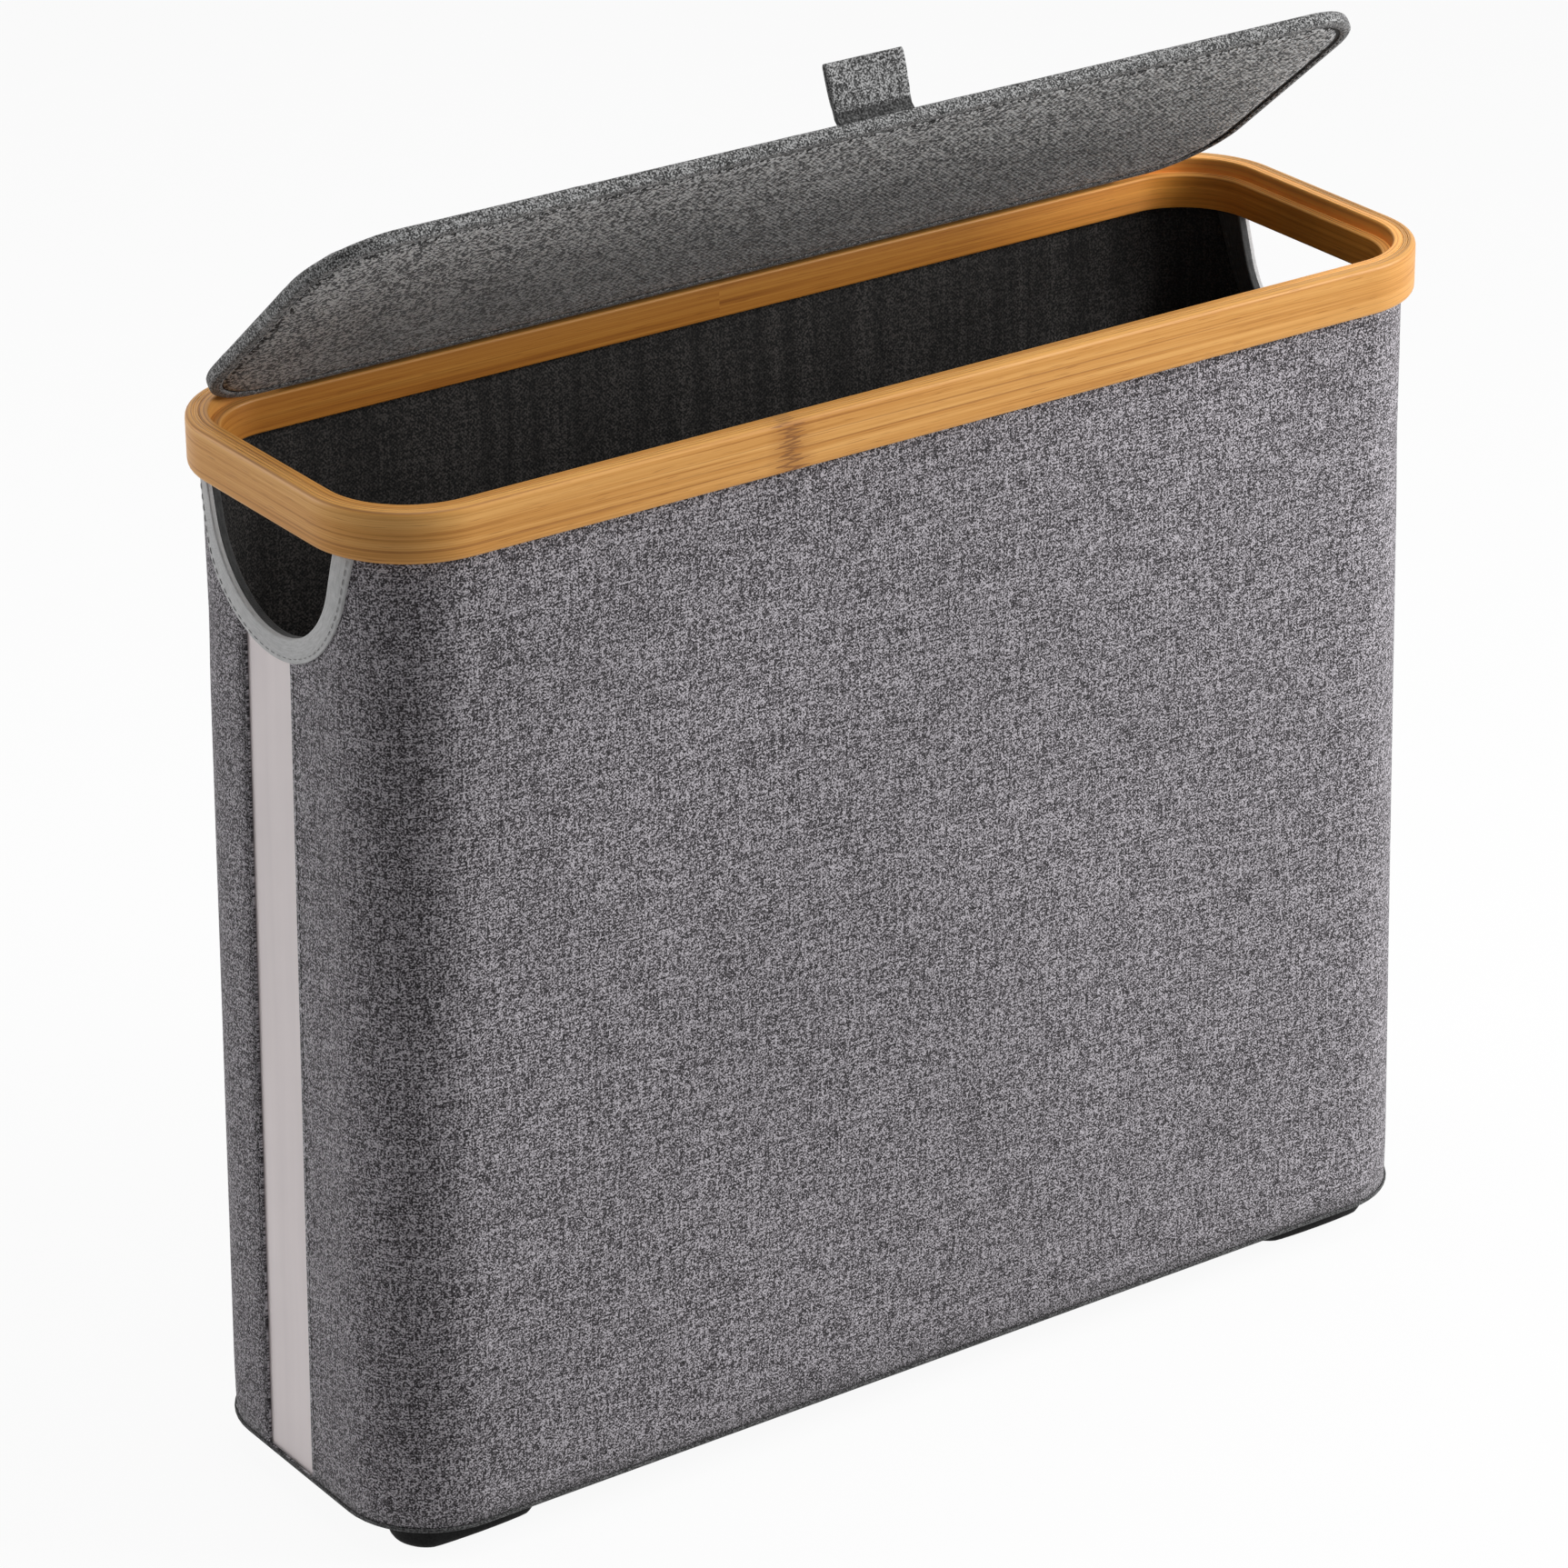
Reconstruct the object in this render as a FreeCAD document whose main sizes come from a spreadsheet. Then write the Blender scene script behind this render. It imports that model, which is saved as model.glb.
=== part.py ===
import FreeCAD, Part
import math
import os
import re
import Sketcher

# Toilet roll storage holder: a slim cloth basket on four feet, hung from a laminated bamboo rim,
# with a padded lid on a cloth hinge that drops onto a ledge inside the rim.
# X runs along the length, Y from front to back and Z up. The origin is on the floor under the middle.
# All sizes are millimetres or degrees.

SIZES = (
    ("rim_length", 420.0, "outside length of the rim"),
    ("rim_depth", 137.0, "outside depth of the rim, front to back"),
    ("rim_corner", 36.0, "outside corner radius of the rim"),
    ("rim_top", 365.0, "height of the rim's top edge above the floor"),
    ("rim_height", 17.0, "height of the bent bamboo strip"),
    ("rim_round", 2.2, "rounding of the rim's two outer edges"),
    ("outer_ply", 2.6, "thickness of the outer ply"),
    ("middle_ply", 1.6, "thickness of the middle ply"),
    ("inner_bevel", 0.6, "bevel of the inner ply's top edge"),
    ("ledge_hoop", 3.6, "thickness of the inner hoop that the lid rests on"),
    ("ledge_bevel", 0.8, "bevel of the ledge's inner edges"),
    ("tuck_depth", 8.0, "depth of the groove that the wall is tucked into"),
    ("tuck_gap", 0.3, "gap above the wall in its groove"),
    ("tuck_fit", 0.15, "glue gap on each side of the wall in its groove"),
    ("sleeve_cloth", 0.8, "thickness of the outer cloth"),
    ("wall_board", 1.4, "thickness of the stiffener boards in the wall"),
    ("lining_cloth", 0.6, "thickness of the lining"),
    ("glue_line", 0.05, "glue between the wall's layers"),
    ("board_gap", 0.4, "gap between neighbouring stiffener boards"),
    ("board_lap", 6.0, "distance of that gap from the corner's bend"),
    ("shoulder_drop", 2.0, "how far the wall's upright top stretch reaches below the hand opening's tape"),
    ("end_flare", 1.5, "how far each end of the wall stands out past the rim at the bottom"),
    ("side_lean", 5.25, "how far each long side of the wall lies inside the rim at the bottom"),
    ("base_cloth", 0.8, "thickness of the cloth under the base"),
    ("base_board", 3.5, "thickness of the base board"),
    ("base_fit", 0.2, "gap between the base and the wall's cloth"),
    ("piping_width", 0.9, "how far the bottom piping stands out"),
    ("piping_height", 2.2, "height of the bottom piping"),
    ("piping_bevel", 0.6, "bevel of the piping's two outer edges"),
    ("piping_gap", 0.1, "glue line between piping and wall"),
    ("handle_radius", 36.0, "radius of the hand opening's round bottom"),
    ("handle_depth", 41.0, "depth of the hand opening below the rim"),
    ("handle_flare", 15.0, "outward lean of the hand opening's sides, degrees"),
    ("binding_width", 7.0, "width of the tape round the hand opening"),
    ("binding_tape", 0.8, "thickness of that tape"),
    ("binding_drop", 0.2, "gap between the tape's ends and the rim"),
    ("window_width", 27.0, "visible width of the clear strip"),
    ("window_offset", 5.0, "how far the clear strip lies behind the middle of the end"),
    ("window_seam", 5.0, "overlap of the clear strip behind the cloth"),
    ("window_sheet", 0.9, "thickness of the clear strip"),
    ("window_hem", 3.0, "cloth left below the clear strip"),
    ("foot_length", 52.0, "length of a foot"),
    ("foot_width", 26.0, "width of a foot"),
    ("foot_height", 12.0, "height of a foot"),
    ("foot_corner", 6.0, "corner radius of a foot, seen from above"),
    ("foot_bevel", 3.0, "bevel round the bottom of a foot"),
    ("foot_inset_x", 11.25, "distance from the basket's end to the foot"),
    ("foot_inset_y", 10.5, "distance from the basket's side to the foot"),
    ("screw_shank", 4.0, "diameter of a foot's screw"),
    ("screw_head", 8.5, "diameter of its head"),
    ("screw_head_height", 2.8, "height of its head"),
    ("screw_recess", 1.4, "depth of the head below the foot's underside"),
    ("screw_cover", 0.7, "base board left above a screw's tip"),
    ("screw_slack", 0.3, "gap round the screw in the foot and the cloth"),
    ("screw_bite", 0.05, "gap round the screw in the base board"),
    ("hinge_end", 9.0, "distance from the hinge's end to the rim's corner"),
    ("hinge_cloth", 0.8, "thickness of the cloth hinge"),
    ("hinge_drop", 0.4, "distance of the hinge's edge below the rim's top"),
    ("hinge_gap", 0.4, "gap between the hinge and the lid"),
    ("lid_seat", 0.3, "gap between the closed lid and the ledge"),
    ("lid_board", 2.4, "thickness of the lid's board"),
    ("lid_pad_edge", 0.9, "thickness of the padding at the lid's edge"),
    ("lid_cloth", 0.8, "thickness of the lid's cover"),
    ("lid_panel", 0.6, "thickness of the cloth under the lid"),
    ("lid_hem", 4.0, "width of the cover turned in under the lid"),
    ("lid_seam", 0.3, "seam between that hem and the panel under the lid"),
    ("lid_crown", 3.0, "rise of the lid's padding at its middle"),
    ("lid_end_crown", 0.5, "rise of the padding across the lid's ends"),
    ("lid_open", 40.0, "angle that the lid stands open at, degrees"),
    ("tab_width", 29.0, "width of the pull tab"),
    ("tab_length", 18.0, "length of the pull tab"),
    ("tab_cloth", 0.9, "thickness of one layer of the tab"),
    ("tab_slit", 0.4, "gap between the tab's two layers"),
    ("tab_sewn", 3.5, "height that the two layers are sewn together"),
    ("tab_rise", 0.6, "gap between the tab's root and the lid's edge"),
    ("tab_angle", 71.0, "angle between the tab and the lid's plane, degrees"),
)

DERIVED = {
    "rim_bottom": "rim_top - rim_height",
    "base_length": "rim_length + 2 * end_flare",
    "base_depth": "rim_depth - 2 * side_lean",
    "board_inset": "sleeve_cloth + glue_line",
    "lining_inset": "board_inset + wall_board + glue_line",
    "wall": "lining_inset + lining_cloth",
    "inner_ply": "wall + 2 * tuck_fit",
    "hoop": "outer_ply + middle_ply + inner_ply",
    "wall_inset": "outer_ply + middle_ply + tuck_fit",
    "wall_corner": "rim_corner - wall_inset",
    "wall_top": "rim_bottom + tuck_depth - tuck_gap",
    "shoulder": "rim_bottom - handle_depth - binding_width - shoulder_drop",
    "board_bottom": "foot_height + base_cloth + base_board",
    "floor_top": "board_bottom + lining_cloth",
    "board_split": "min(rim_length / 2 - rim_corner; base_length / 2 - wall_corner) - board_lap",
    "base_inset": "sleeve_cloth + base_fit",
    "handle_centre": "rim_bottom - handle_depth + handle_radius",
    "window_half": "window_width / 2",
    "window_reach": "window_width / 2 + window_seam",
    "reach_x": "(rim_length + base_length) / 2",
    "reach_y": "(rim_depth + base_depth) / 2",
    "foot_x": "base_length / 2 - foot_inset_x - foot_length / 2",
    "foot_y": "base_depth / 2 - foot_inset_y - foot_width / 2",
    "head_top": "screw_recess + screw_head_height",
    "screw_grip": "base_board - screw_cover",
    "lid_inset": "hoop + hinge_cloth + hinge_gap",
    "lid_length": "rim_length - 2 * lid_inset",
    "lid_depth": "rim_depth - 2 * lid_inset",
    "lid_corner": "rim_corner - lid_inset",
    "lid_edge": "lid_panel + lid_board + lid_pad_edge + lid_cloth",
    "ledge_drop": "lid_edge + lid_seat",
    "hinge_y": "rim_depth / 2 - lid_inset",
    "hinge_half": "rim_length / 2 - rim_corner - hinge_end",
    "pad_bottom": "lid_panel + lid_board - lid_edge",
    "tab_thick": "2 * tab_cloth + tab_slit",
    "tab_root_y": "tab_thick / 2 - lid_depth",
    "tab_root_z": "tab_thick / 2 + tab_rise",
}

ALIASES = [alias for alias, number, meaning in SIZES]
TINY = 1e-6
PIECES = []

doc = FreeCAD.newDocument("RollHolder")
sheet = doc.addObject("Spreadsheet::Sheet", "Sizes")
for row, (alias, number, meaning) in enumerate(SIZES, start=1):
    sheet.set(f"A{row}", meaning)
    sheet.set(f"B{row}", str(number))
    sheet.setAlias(f"B{row}", alias)
doc.recompute()


def expand(formula):
    """The formula with each size's word turned into its cell, for an expression."""
    def cell(match):
        word = match.group(0)
        if word in DERIVED:
            return "(" + expand(DERIVED[word]) + ")"
        if word in ALIASES:
            return "Sizes." + word
        return word
    return re.sub(r"[a-z][a-z_]*", cell, formula)


def value(formula):
    """The number that a formula gives with the sheet as it stands."""
    return float(sheet.evalExpression(expand(formula)))


def bind(item, path, formula):
    item.setExpression(path, expand(formula))


def piece(item, label):
    """Marks a finished object as a sub-part, whose label names its file."""
    item.Label = label
    PIECES.append(item)
    return item


# Sketches

def body_sketch(body, name, role, level="0", shift="0"):
    """A sketch on one of the body's own planes, raised by level and shifted along its own Y."""
    plane = [feature for feature in body.Origin.OriginFeatures if feature.Role == role][0]
    sketch = body.newObject("Sketcher::SketchObject", name)
    sketch.AttachmentSupport = [(plane, "")]
    sketch.MapMode = "FlatFace"
    bind(sketch, "AttachmentOffset.Base.z", level)
    bind(sketch, "AttachmentOffset.Base.y", shift)
    return sketch


def plan_sketch(name, level, shift="0"):
    """A free sketch lying flat at a height."""
    sketch = doc.addObject("Sketcher::SketchObject", name)
    bind(sketch, "Placement.Base.z", level)
    bind(sketch, "Placement.Base.y", shift)
    return sketch


def end_sketch(name, station, shift="0"):
    """A free sketch standing across the length, its X along Y and its Y along Z."""
    sketch = doc.addObject("Sketcher::SketchObject", name)
    sketch.Placement.Rotation = FreeCAD.Rotation(FreeCAD.Vector(1, 1, 1), 120)
    bind(sketch, "Placement.Base.x", station)
    bind(sketch, "Placement.Base.y", shift)
    return sketch


def dimension(sketch, name, formula, kind, *where):
    """A driving dimension bound to a formula."""
    index = sketch.addConstraint(Sketcher.Constraint(kind, *where, value(formula)))
    sketch.renameConstraint(index, name)
    bind(sketch, "Constraints." + name, formula)


def add_arc(sketch, x, y, radius, start, end):
    circle = Part.Circle(FreeCAD.Vector(x, y, 0), FreeCAD.Vector(0, 0, 1), radius)
    return sketch.addGeometry(Part.ArcOfCircle(circle, math.radians(start), math.radians(end)))


def add_line(sketch, start, end):
    return sketch.addGeometry(Part.LineSegment(FreeCAD.Vector(*start, 0), FreeCAD.Vector(*end, 0)))


def join_tangent(sketch, first, first_end, second, second_end):
    sketch.addConstraint(Sketcher.Constraint("Tangent", first, first_end, second, second_end))


def join_corner(sketch, first, first_end, second, second_end):
    sketch.addConstraint(Sketcher.Constraint("Coincident", first, first_end, second, second_end))


def add_rounded_rectangle(sketch, name, length, depth, corner):
    """One rounded rectangle about the sketch's origin: four arcs with a line from each to the next."""
    half_x = value(length) / 2
    half_y = value(depth) / 2
    radius = value(corner)
    arcs = []
    for turn, (side_x, side_y) in enumerate(((1, 1), (-1, 1), (-1, -1), (1, -1))):
        centre = (side_x * (half_x - radius), side_y * (half_y - radius))
        arcs.append(add_arc(sketch, *centre, radius, 90 * turn, 90 * turn + 90))
    lines = []
    for turn in range(4):
        start = sketch.getPoint(arcs[turn], 2)
        end = sketch.getPoint(arcs[(turn + 1) % 4], 1)
        lines.append(add_line(sketch, (start.x, start.y), (end.x, end.y)))
    for turn in range(4):
        join_tangent(sketch, arcs[turn], 2, lines[turn], 1)
        join_tangent(sketch, lines[turn], 2, arcs[(turn + 1) % 4], 1)
    for turn, way in enumerate(("Horizontal", "Vertical", "Horizontal", "Vertical")):
        sketch.addConstraint(Sketcher.Constraint(way, lines[turn]))
    for arc in arcs[1:]:
        sketch.addConstraint(Sketcher.Constraint("Equal", arcs[0], arc))
    sketch.addConstraint(Sketcher.Constraint("Symmetric", arcs[0], 3, arcs[2], 3, -1, 1))
    dimension(sketch, name + "_length", length, "DistanceX", lines[1], 1, lines[3], 1)
    dimension(sketch, name + "_depth", depth, "DistanceY", lines[2], 1, lines[0], 1)
    dimension(sketch, name + "_corner", corner, "Radius", arcs[0])


def add_circle(sketch, name, radius, side_x=0, x="0", side_y=0, y="0"):
    """A circle x and y from the origin, on the sides given as 1 or -1, or on the axis where a side is 0."""
    centre = FreeCAD.Vector(side_x * value(x), side_y * value(y), 0)
    circle = sketch.addGeometry(Part.Circle(centre, FreeCAD.Vector(0, 0, 1), value(radius)))
    origin = (-1, 1)
    middle = (circle, 3)
    for kind, side, formula, axis in (("DistanceX", side_x, x, -2), ("DistanceY", side_y, y, -1)):
        if side:
            ends = origin + middle if side > 0 else middle + origin
            dimension(sketch, name + "_" + kind, formula, kind, *ends)
        else:
            sketch.addConstraint(Sketcher.Constraint("PointOnObject", *middle, axis))
    dimension(sketch, name + "_radius", radius, "Radius", circle)


def add_slot(sketch, name, low, high, radius):
    """An upright slot on the sketch's Y axis, with round ends centred at low and high."""
    reach = value(radius)
    bottom = add_arc(sketch, 0, value(low), reach, 180, 360)
    top = add_arc(sketch, 0, value(high), reach, 0, 180)
    right = add_line(sketch, (reach, value(low)), (reach, value(high)))
    left = add_line(sketch, (-reach, value(high)), (-reach, value(low)))
    join_tangent(sketch, bottom, 2, right, 1)
    join_tangent(sketch, right, 2, top, 1)
    join_tangent(sketch, top, 2, left, 1)
    join_tangent(sketch, left, 2, bottom, 1)
    sketch.addConstraint(Sketcher.Constraint("PointOnObject", bottom, 3, -2))
    sketch.addConstraint(Sketcher.Constraint("PointOnObject", top, 3, -2))
    dimension(sketch, name + "_radius", radius, "Radius", bottom)
    if abs(value(low)) < TINY:
        sketch.addConstraint(Sketcher.Constraint("PointOnObject", bottom, 3, -1))
    else:
        dimension(sketch, name + "_low", low, "DistanceY", -1, 1, bottom, 3)
    dimension(sketch, name + "_high", high, "DistanceY", -1, 1, top, 3)


def add_hand_opening(sketch, grow, top):
    """The hand opening's outline, made larger all round by grow: a round bottom with flared sides."""
    radius = "handle_radius + " + grow
    flare = math.radians(value("handle_flare"))
    reach = value(radius)
    centre = value("handle_centre")
    high = value(top)
    side = reach * math.cos(flare)
    low = centre - reach * math.sin(flare)
    wide = side + (high - low) * math.tan(flare)
    bottom = add_arc(sketch, 0, centre, reach, 180 + value("handle_flare"), 360 - value("handle_flare"))
    right = add_line(sketch, (side, low), (wide, high))
    lid = add_line(sketch, (wide, high), (-wide, high))
    left = add_line(sketch, (-wide, high), (-side, low))
    join_tangent(sketch, bottom, 2, right, 1)
    join_corner(sketch, right, 2, lid, 1)
    join_corner(sketch, lid, 2, left, 1)
    join_tangent(sketch, left, 2, bottom, 1)
    sketch.addConstraint(Sketcher.Constraint("PointOnObject", bottom, 3, -2))
    sketch.addConstraint(Sketcher.Constraint("Symmetric", lid, 1, lid, 2, -2))
    dimension(sketch, "opening_centre", "handle_centre", "DistanceY", -1, 1, bottom, 3)
    dimension(sketch, "opening_radius", radius, "Radius", bottom)
    dimension(sketch, "opening_top", top, "DistanceY", -1, 1, lid, 1)
    dimension(sketch, "opening_half", f"({radius}) * cos(handle_flare)", "DistanceX", -1, 1, right, 1)


def add_crown_section(sketch, half, bottom, edge, rise):
    """A section across the lid: flat below, straight sides, and a shallow arc on top."""
    wide = value(half)
    low = value(bottom)
    high = value(edge)
    arch = f"(({half}) * ({half}) + ({rise}) * ({rise})) / (2 * ({rise}))"
    radius = value(arch)
    middle = f"({arch}) - ({rise}) - ({edge})"
    angle = math.degrees(math.asin(wide / radius))
    top = add_arc(sketch, 0, -value(middle), radius, 90 - angle, 90 + angle)
    left = add_line(sketch, (-wide, high), (-wide, low))
    base = add_line(sketch, (-wide, low), (wide, low))
    right = add_line(sketch, (wide, low), (wide, high))
    join_corner(sketch, top, 2, left, 1)
    join_corner(sketch, left, 2, base, 1)
    join_corner(sketch, base, 2, right, 1)
    join_corner(sketch, right, 2, top, 1)
    sketch.addConstraint(Sketcher.Constraint("Vertical", left))
    sketch.addConstraint(Sketcher.Constraint("Vertical", right))
    sketch.addConstraint(Sketcher.Constraint("Symmetric", base, 1, base, 2, -2))
    sketch.addConstraint(Sketcher.Constraint("PointOnObject", top, 3, -2))
    dimension(sketch, "section_width", f"2 * ({half})", "DistanceX", base, 1, base, 2)
    dimension(sketch, "section_drop", f"-({bottom})", "DistanceY", base, 1, -1, 1)
    dimension(sketch, "section_middle", middle, "DistanceY", top, 3, -1, 1)
    dimension(sketch, "section_arch", arch, "Radius", top)


# Features

def new_body(label):
    return piece(doc.addObject("PartDesign::Body", label), label)


def pad(body, sketch, length, both_ways=False):
    feature = body.newObject("PartDesign::Pad", body.Name + "_pad")
    feature.Profile = sketch
    bind(feature, "Length", length)
    if both_ways:
        feature.SideType = "Symmetric"
    doc.recompute()
    return feature


def pocket_up(body, sketch, depth):
    """A pocket cut upwards from its sketch, which has to take material away."""
    before = body.Shape.Volume
    feature = body.newObject("PartDesign::Pocket", sketch.Name + "_pocket")
    feature.Profile = sketch
    feature.Reversed = True
    bind(feature, "Length", depth)
    doc.recompute()
    if body.Shape.Volume > before - TINY:
        raise RuntimeError("nothing was cut by " + feature.Name)
    return feature


def rim_edges(shape, level, outside):
    """The names of the edges round a ring's flat face at a height, on its outside or its inside."""
    names = []
    for face in shape.Faces:
        if abs(face.BoundBox.ZMin - level) > TINY or abs(face.BoundBox.ZMax - level) > TINY:
            continue
        for wire in face.Wires:
            if wire.isSame(face.OuterWire) == outside:
                names += [edge_name(shape, edge) for edge in wire.Edges]
    return names


def edge_name(shape, edge):
    return "Edge%d" % [number for number, one in enumerate(shape.Edges, start=1) if one.isSame(edge)][0]


def round_off(body, feature, edges, radius):
    fillet = body.newObject("PartDesign::Fillet", body.Name + "_round")
    fillet.Base = (feature, edges)
    bind(fillet, "Radius", radius)
    doc.recompute()


def bevel_off(body, feature, edges, size):
    chamfer = body.newObject("PartDesign::Chamfer", body.Name + "_bevel")
    chamfer.Base = (feature, edges)
    bind(chamfer, "Size", size)
    doc.recompute()


def box(name, span_x, span_y, span_z):
    """A block between the low and high formulas given for each axis."""
    block = doc.addObject("Part::Box", name)
    for axis, side, (low, high) in zip("xyz", ("Length", "Width", "Height"), (span_x, span_y, span_z)):
        bind(block, "Placement.Base." + axis, low)
        bind(block, side, f"({high}) - ({low})")
    return block


def span(side, near, far):
    """The low and high formulas of a stretch on one side of the middle, side being 1 or -1."""
    return (near, far) if side > 0 else (f"-({far})", f"-({near})")


def corners():
    """Name and sides of the basket's four corners, left and front being -1."""
    for end, side_x in (("left", -1), ("right", 1)):
        for face, side_y in (("front", -1), ("back", 1)):
            yield f"{face}_{end}", side_x, side_y


def combine(kind, name, base, tool):
    result = doc.addObject("Part::" + kind, name)
    result.Base = base
    result.Tool = tool
    return result


def extrude(name, sketch, direction, length, both_ways=False):
    solid = doc.addObject("Part::Extrusion", name)
    solid.Base = sketch
    solid.DirMode = "Custom"
    solid.Dir = direction
    solid.Solid = True
    solid.Symmetric = both_ways
    bind(solid, "LengthFwd", length)
    return solid


def loft(name, sections, ruled):
    solid = doc.addObject("Part::Loft", name)
    solid.Sections = sections
    solid.Solid = True
    solid.Ruled = ruled
    return solid


# Rim: three bent plies with a groove below the inner one, and a lower hoop that forms the lid's ledge

def rim_ring(label, outer, inner, bottom, height):
    """A hoop of the rim between two insets from the rim's outside."""
    body = new_body(label)
    sketch = body_sketch(body, label + "_plan", "XY_Plane", bottom)
    for side, inset in (("outer", outer), ("inner", inner)):
        length = f"rim_length - 2 * ({inset})"
        depth = f"rim_depth - 2 * ({inset})"
        add_rounded_rectangle(sketch, side, length, depth, f"rim_corner - ({inset})")
    return body, pad(body, sketch, height)


def make_rim():
    body, ring = rim_ring("rim_outer_ply", "0", "outer_ply", "rim_bottom", "rim_height")
    edges = rim_edges(ring.Shape, value("rim_top"), True) + rim_edges(ring.Shape, value("rim_bottom"), True)
    round_off(body, ring, edges, "min(rim_round; 0.9 * outer_ply)")

    rim_ring("rim_middle_ply", "outer_ply", "outer_ply + middle_ply", "rim_bottom", "rim_height")

    inner_bottom = "rim_bottom + tuck_depth"
    inner_height = "rim_height - tuck_depth"
    body, ring = rim_ring("rim_inner_ply", "outer_ply + middle_ply", "hoop", inner_bottom, inner_height)
    edges = rim_edges(ring.Shape, value("rim_top"), False)
    bevel_off(body, ring, edges, "min(inner_bevel; 0.9 * inner_ply)")

    ledge_height = "rim_height - ledge_drop"
    body, ring = rim_ring("rim_ledge_hoop", "hoop", "hoop + ledge_hoop", "rim_bottom", ledge_height)
    edges = rim_edges(ring.Shape, value("rim_top - ledge_drop"), False)
    edges += rim_edges(ring.Shape, value("rim_bottom"), False)
    bevel_off(body, ring, edges, "min(ledge_bevel; 0.9 * ledge_hoop)")


# Wall: cloth, boards and lining, each between two lofts from the base's outline to the rim's

def wall_loft(name, inset):
    """The solid inside the wall's outer face moved in by inset: upright round the base, leaning up to
    the shoulder, and upright again past the hand openings and into the rim."""
    rim_plan = ("rim_length - 2 * wall_inset", "rim_depth - 2 * wall_inset")
    base_plan = ("base_length", "base_depth")
    stages = (
        ("bottom", "foot_height", base_plan),
        ("floor", "floor_top", base_plan),
        ("shoulder", "shoulder", rim_plan),
        ("top", "wall_top", rim_plan),
    )
    sections = []
    for stage, level, plan in stages:
        sketch = plan_sketch(name + "_" + stage, level)
        length, depth = [f"{side} - 2 * ({inset})" for side in plan]
        add_rounded_rectangle(sketch, "plan", length, depth, f"wall_corner - ({inset})")
        sections.append(sketch)
    return loft(name, sections, ruled=True)


def hand_cutter(name, grow, top):
    """The hand opening's outline carried right through the basket, end to end."""
    sketch = end_sketch(name + "_outline", "0")
    add_hand_opening(sketch, grow, top)
    return extrude(name, sketch, FreeCAD.Vector(1, 0, 0), "2 * reach_x", both_ways=True)


def window_cutter(name, half, low):
    """A block through both ends, as wide as the clear strip, from low up into the hand opening."""
    across = (f"window_offset - {half}", f"window_offset + {half}")
    return box(name, ("-reach_x", "reach_x"), across, (low, "handle_centre"))


def make_wall():
    opening = hand_cutter("hand_opening", "0", "rim_top")
    outside = wall_loft("wall_outside", "0")
    board_outside = wall_loft("board_outside", "board_inset")
    inside = wall_loft("wall_inside", "wall")
    everywhere = (("-reach_x", "reach_x"), ("-reach_y", "reach_y"))

    shell = combine("Cut", "sleeve_shell", outside, wall_loft("sleeve_inside", "sleeve_cloth"))
    opened = combine("Cut", "sleeve_opened", shell, opening)
    slot = window_cutter("sleeve_slot", "window_half", "foot_height + window_hem")
    piece(combine("Cut", "sleeve", opened, slot), "outer_sleeve")

    bag = combine("Common", "lining_block", wall_loft("lining_outside", "lining_inset"),
                  box("above_board", *everywhere, ("board_bottom", "rim_top")))
    hollow = combine("Common", "lining_hollow", inside,
                     box("above_floor", *everywhere, ("floor_top", "rim_top")))
    shell = combine("Cut", "lining_shell", bag, hollow)
    opened = combine("Cut", "lining_opened", shell, opening)
    slot = window_cutter("lining_slot", "window_half", "floor_top + window_hem")
    piece(combine("Cut", "lining_bag", opened, slot), "lining")

    board_inside = wall_loft("board_inside", "board_inset + wall_board")
    make_boards(combine("Cut", "board_shell", board_outside, board_inside), opening)
    sheet_inside = wall_loft("sheet_inside", "board_inset + window_sheet")
    make_windows(combine("Cut", "sheet_shell", board_outside, sheet_inside), opening)
    make_bindings(combine("Cut", "wall_shell", outside, inside), opening)


def make_boards(shell, opening):
    """A flat board in the front and the back, and a bent one at each corner up to the clear strip."""
    upright = ("board_bottom", "wall_top")
    seam = "board_split - board_gap / 2"
    for name, side in (("front_board", -1), ("back_board", 1)):
        block = box(name + "_block", (f"-({seam})", seam), span(side, "0", "reach_y"), upright)
        piece(combine("Common", name + "_cut", shell, block), name)
    for corner, side_x, side_y in corners():
        name = corner + "_corner_board"
        strip_edge = f"window_reach + board_gap + ({side_y}) * window_offset"
        block = box(name + "_block", span(side_x, "board_split + board_gap / 2", "reach_x"),
                    span(side_y, strip_edge, "reach_y"), upright)
        bend = combine("Common", name + "_cut", shell, block)
        piece(combine("Cut", name + "_opened", bend, opening), name)


def make_windows(shell, opening):
    """A clear strip behind the slot at each end, its long edges sewn in between cloth and lining."""
    across = ("window_offset - window_reach", "window_offset + window_reach")
    for end, side in (("left", -1), ("right", 1)):
        name = end + "_window"
        block = box(name + "_block", span(side, "0", "reach_x"), across, ("board_bottom", "handle_centre"))
        strip = combine("Common", name + "_strip", shell, block)
        piece(combine("Cut", name + "_opened", strip, opening), name)


def make_bindings(wall, opening):
    """A tape folded over the edge of each hand opening, with a leg on both faces of the wall."""
    top = "rim_bottom - binding_drop"
    ring = combine("Cut", "binding_ring", hand_cutter("binding_outer", "binding_width", top),
                   hand_cutter("binding_inner", "-binding_tape", "rim_top"))
    skin = combine("Cut", "binding_skin", wall_loft("binding_outside", "-binding_tape"),
                   wall_loft("binding_inside", "wall + binding_tape"))
    band = combine("Common", "binding_band", skin, ring)
    tape = combine("Cut", "binding_tapes", band, combine("Cut", "wall_opened", wall, opening))
    for end, side in (("left", -1), ("right", 1)):
        name = end + "_handle_binding"
        half = box(name + "_half", span(side, "0", "reach_x"), ("-reach_y", "reach_y"), ("0", "rim_top"))
        piece(combine("Common", name + "_side", tape, half), name)


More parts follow.
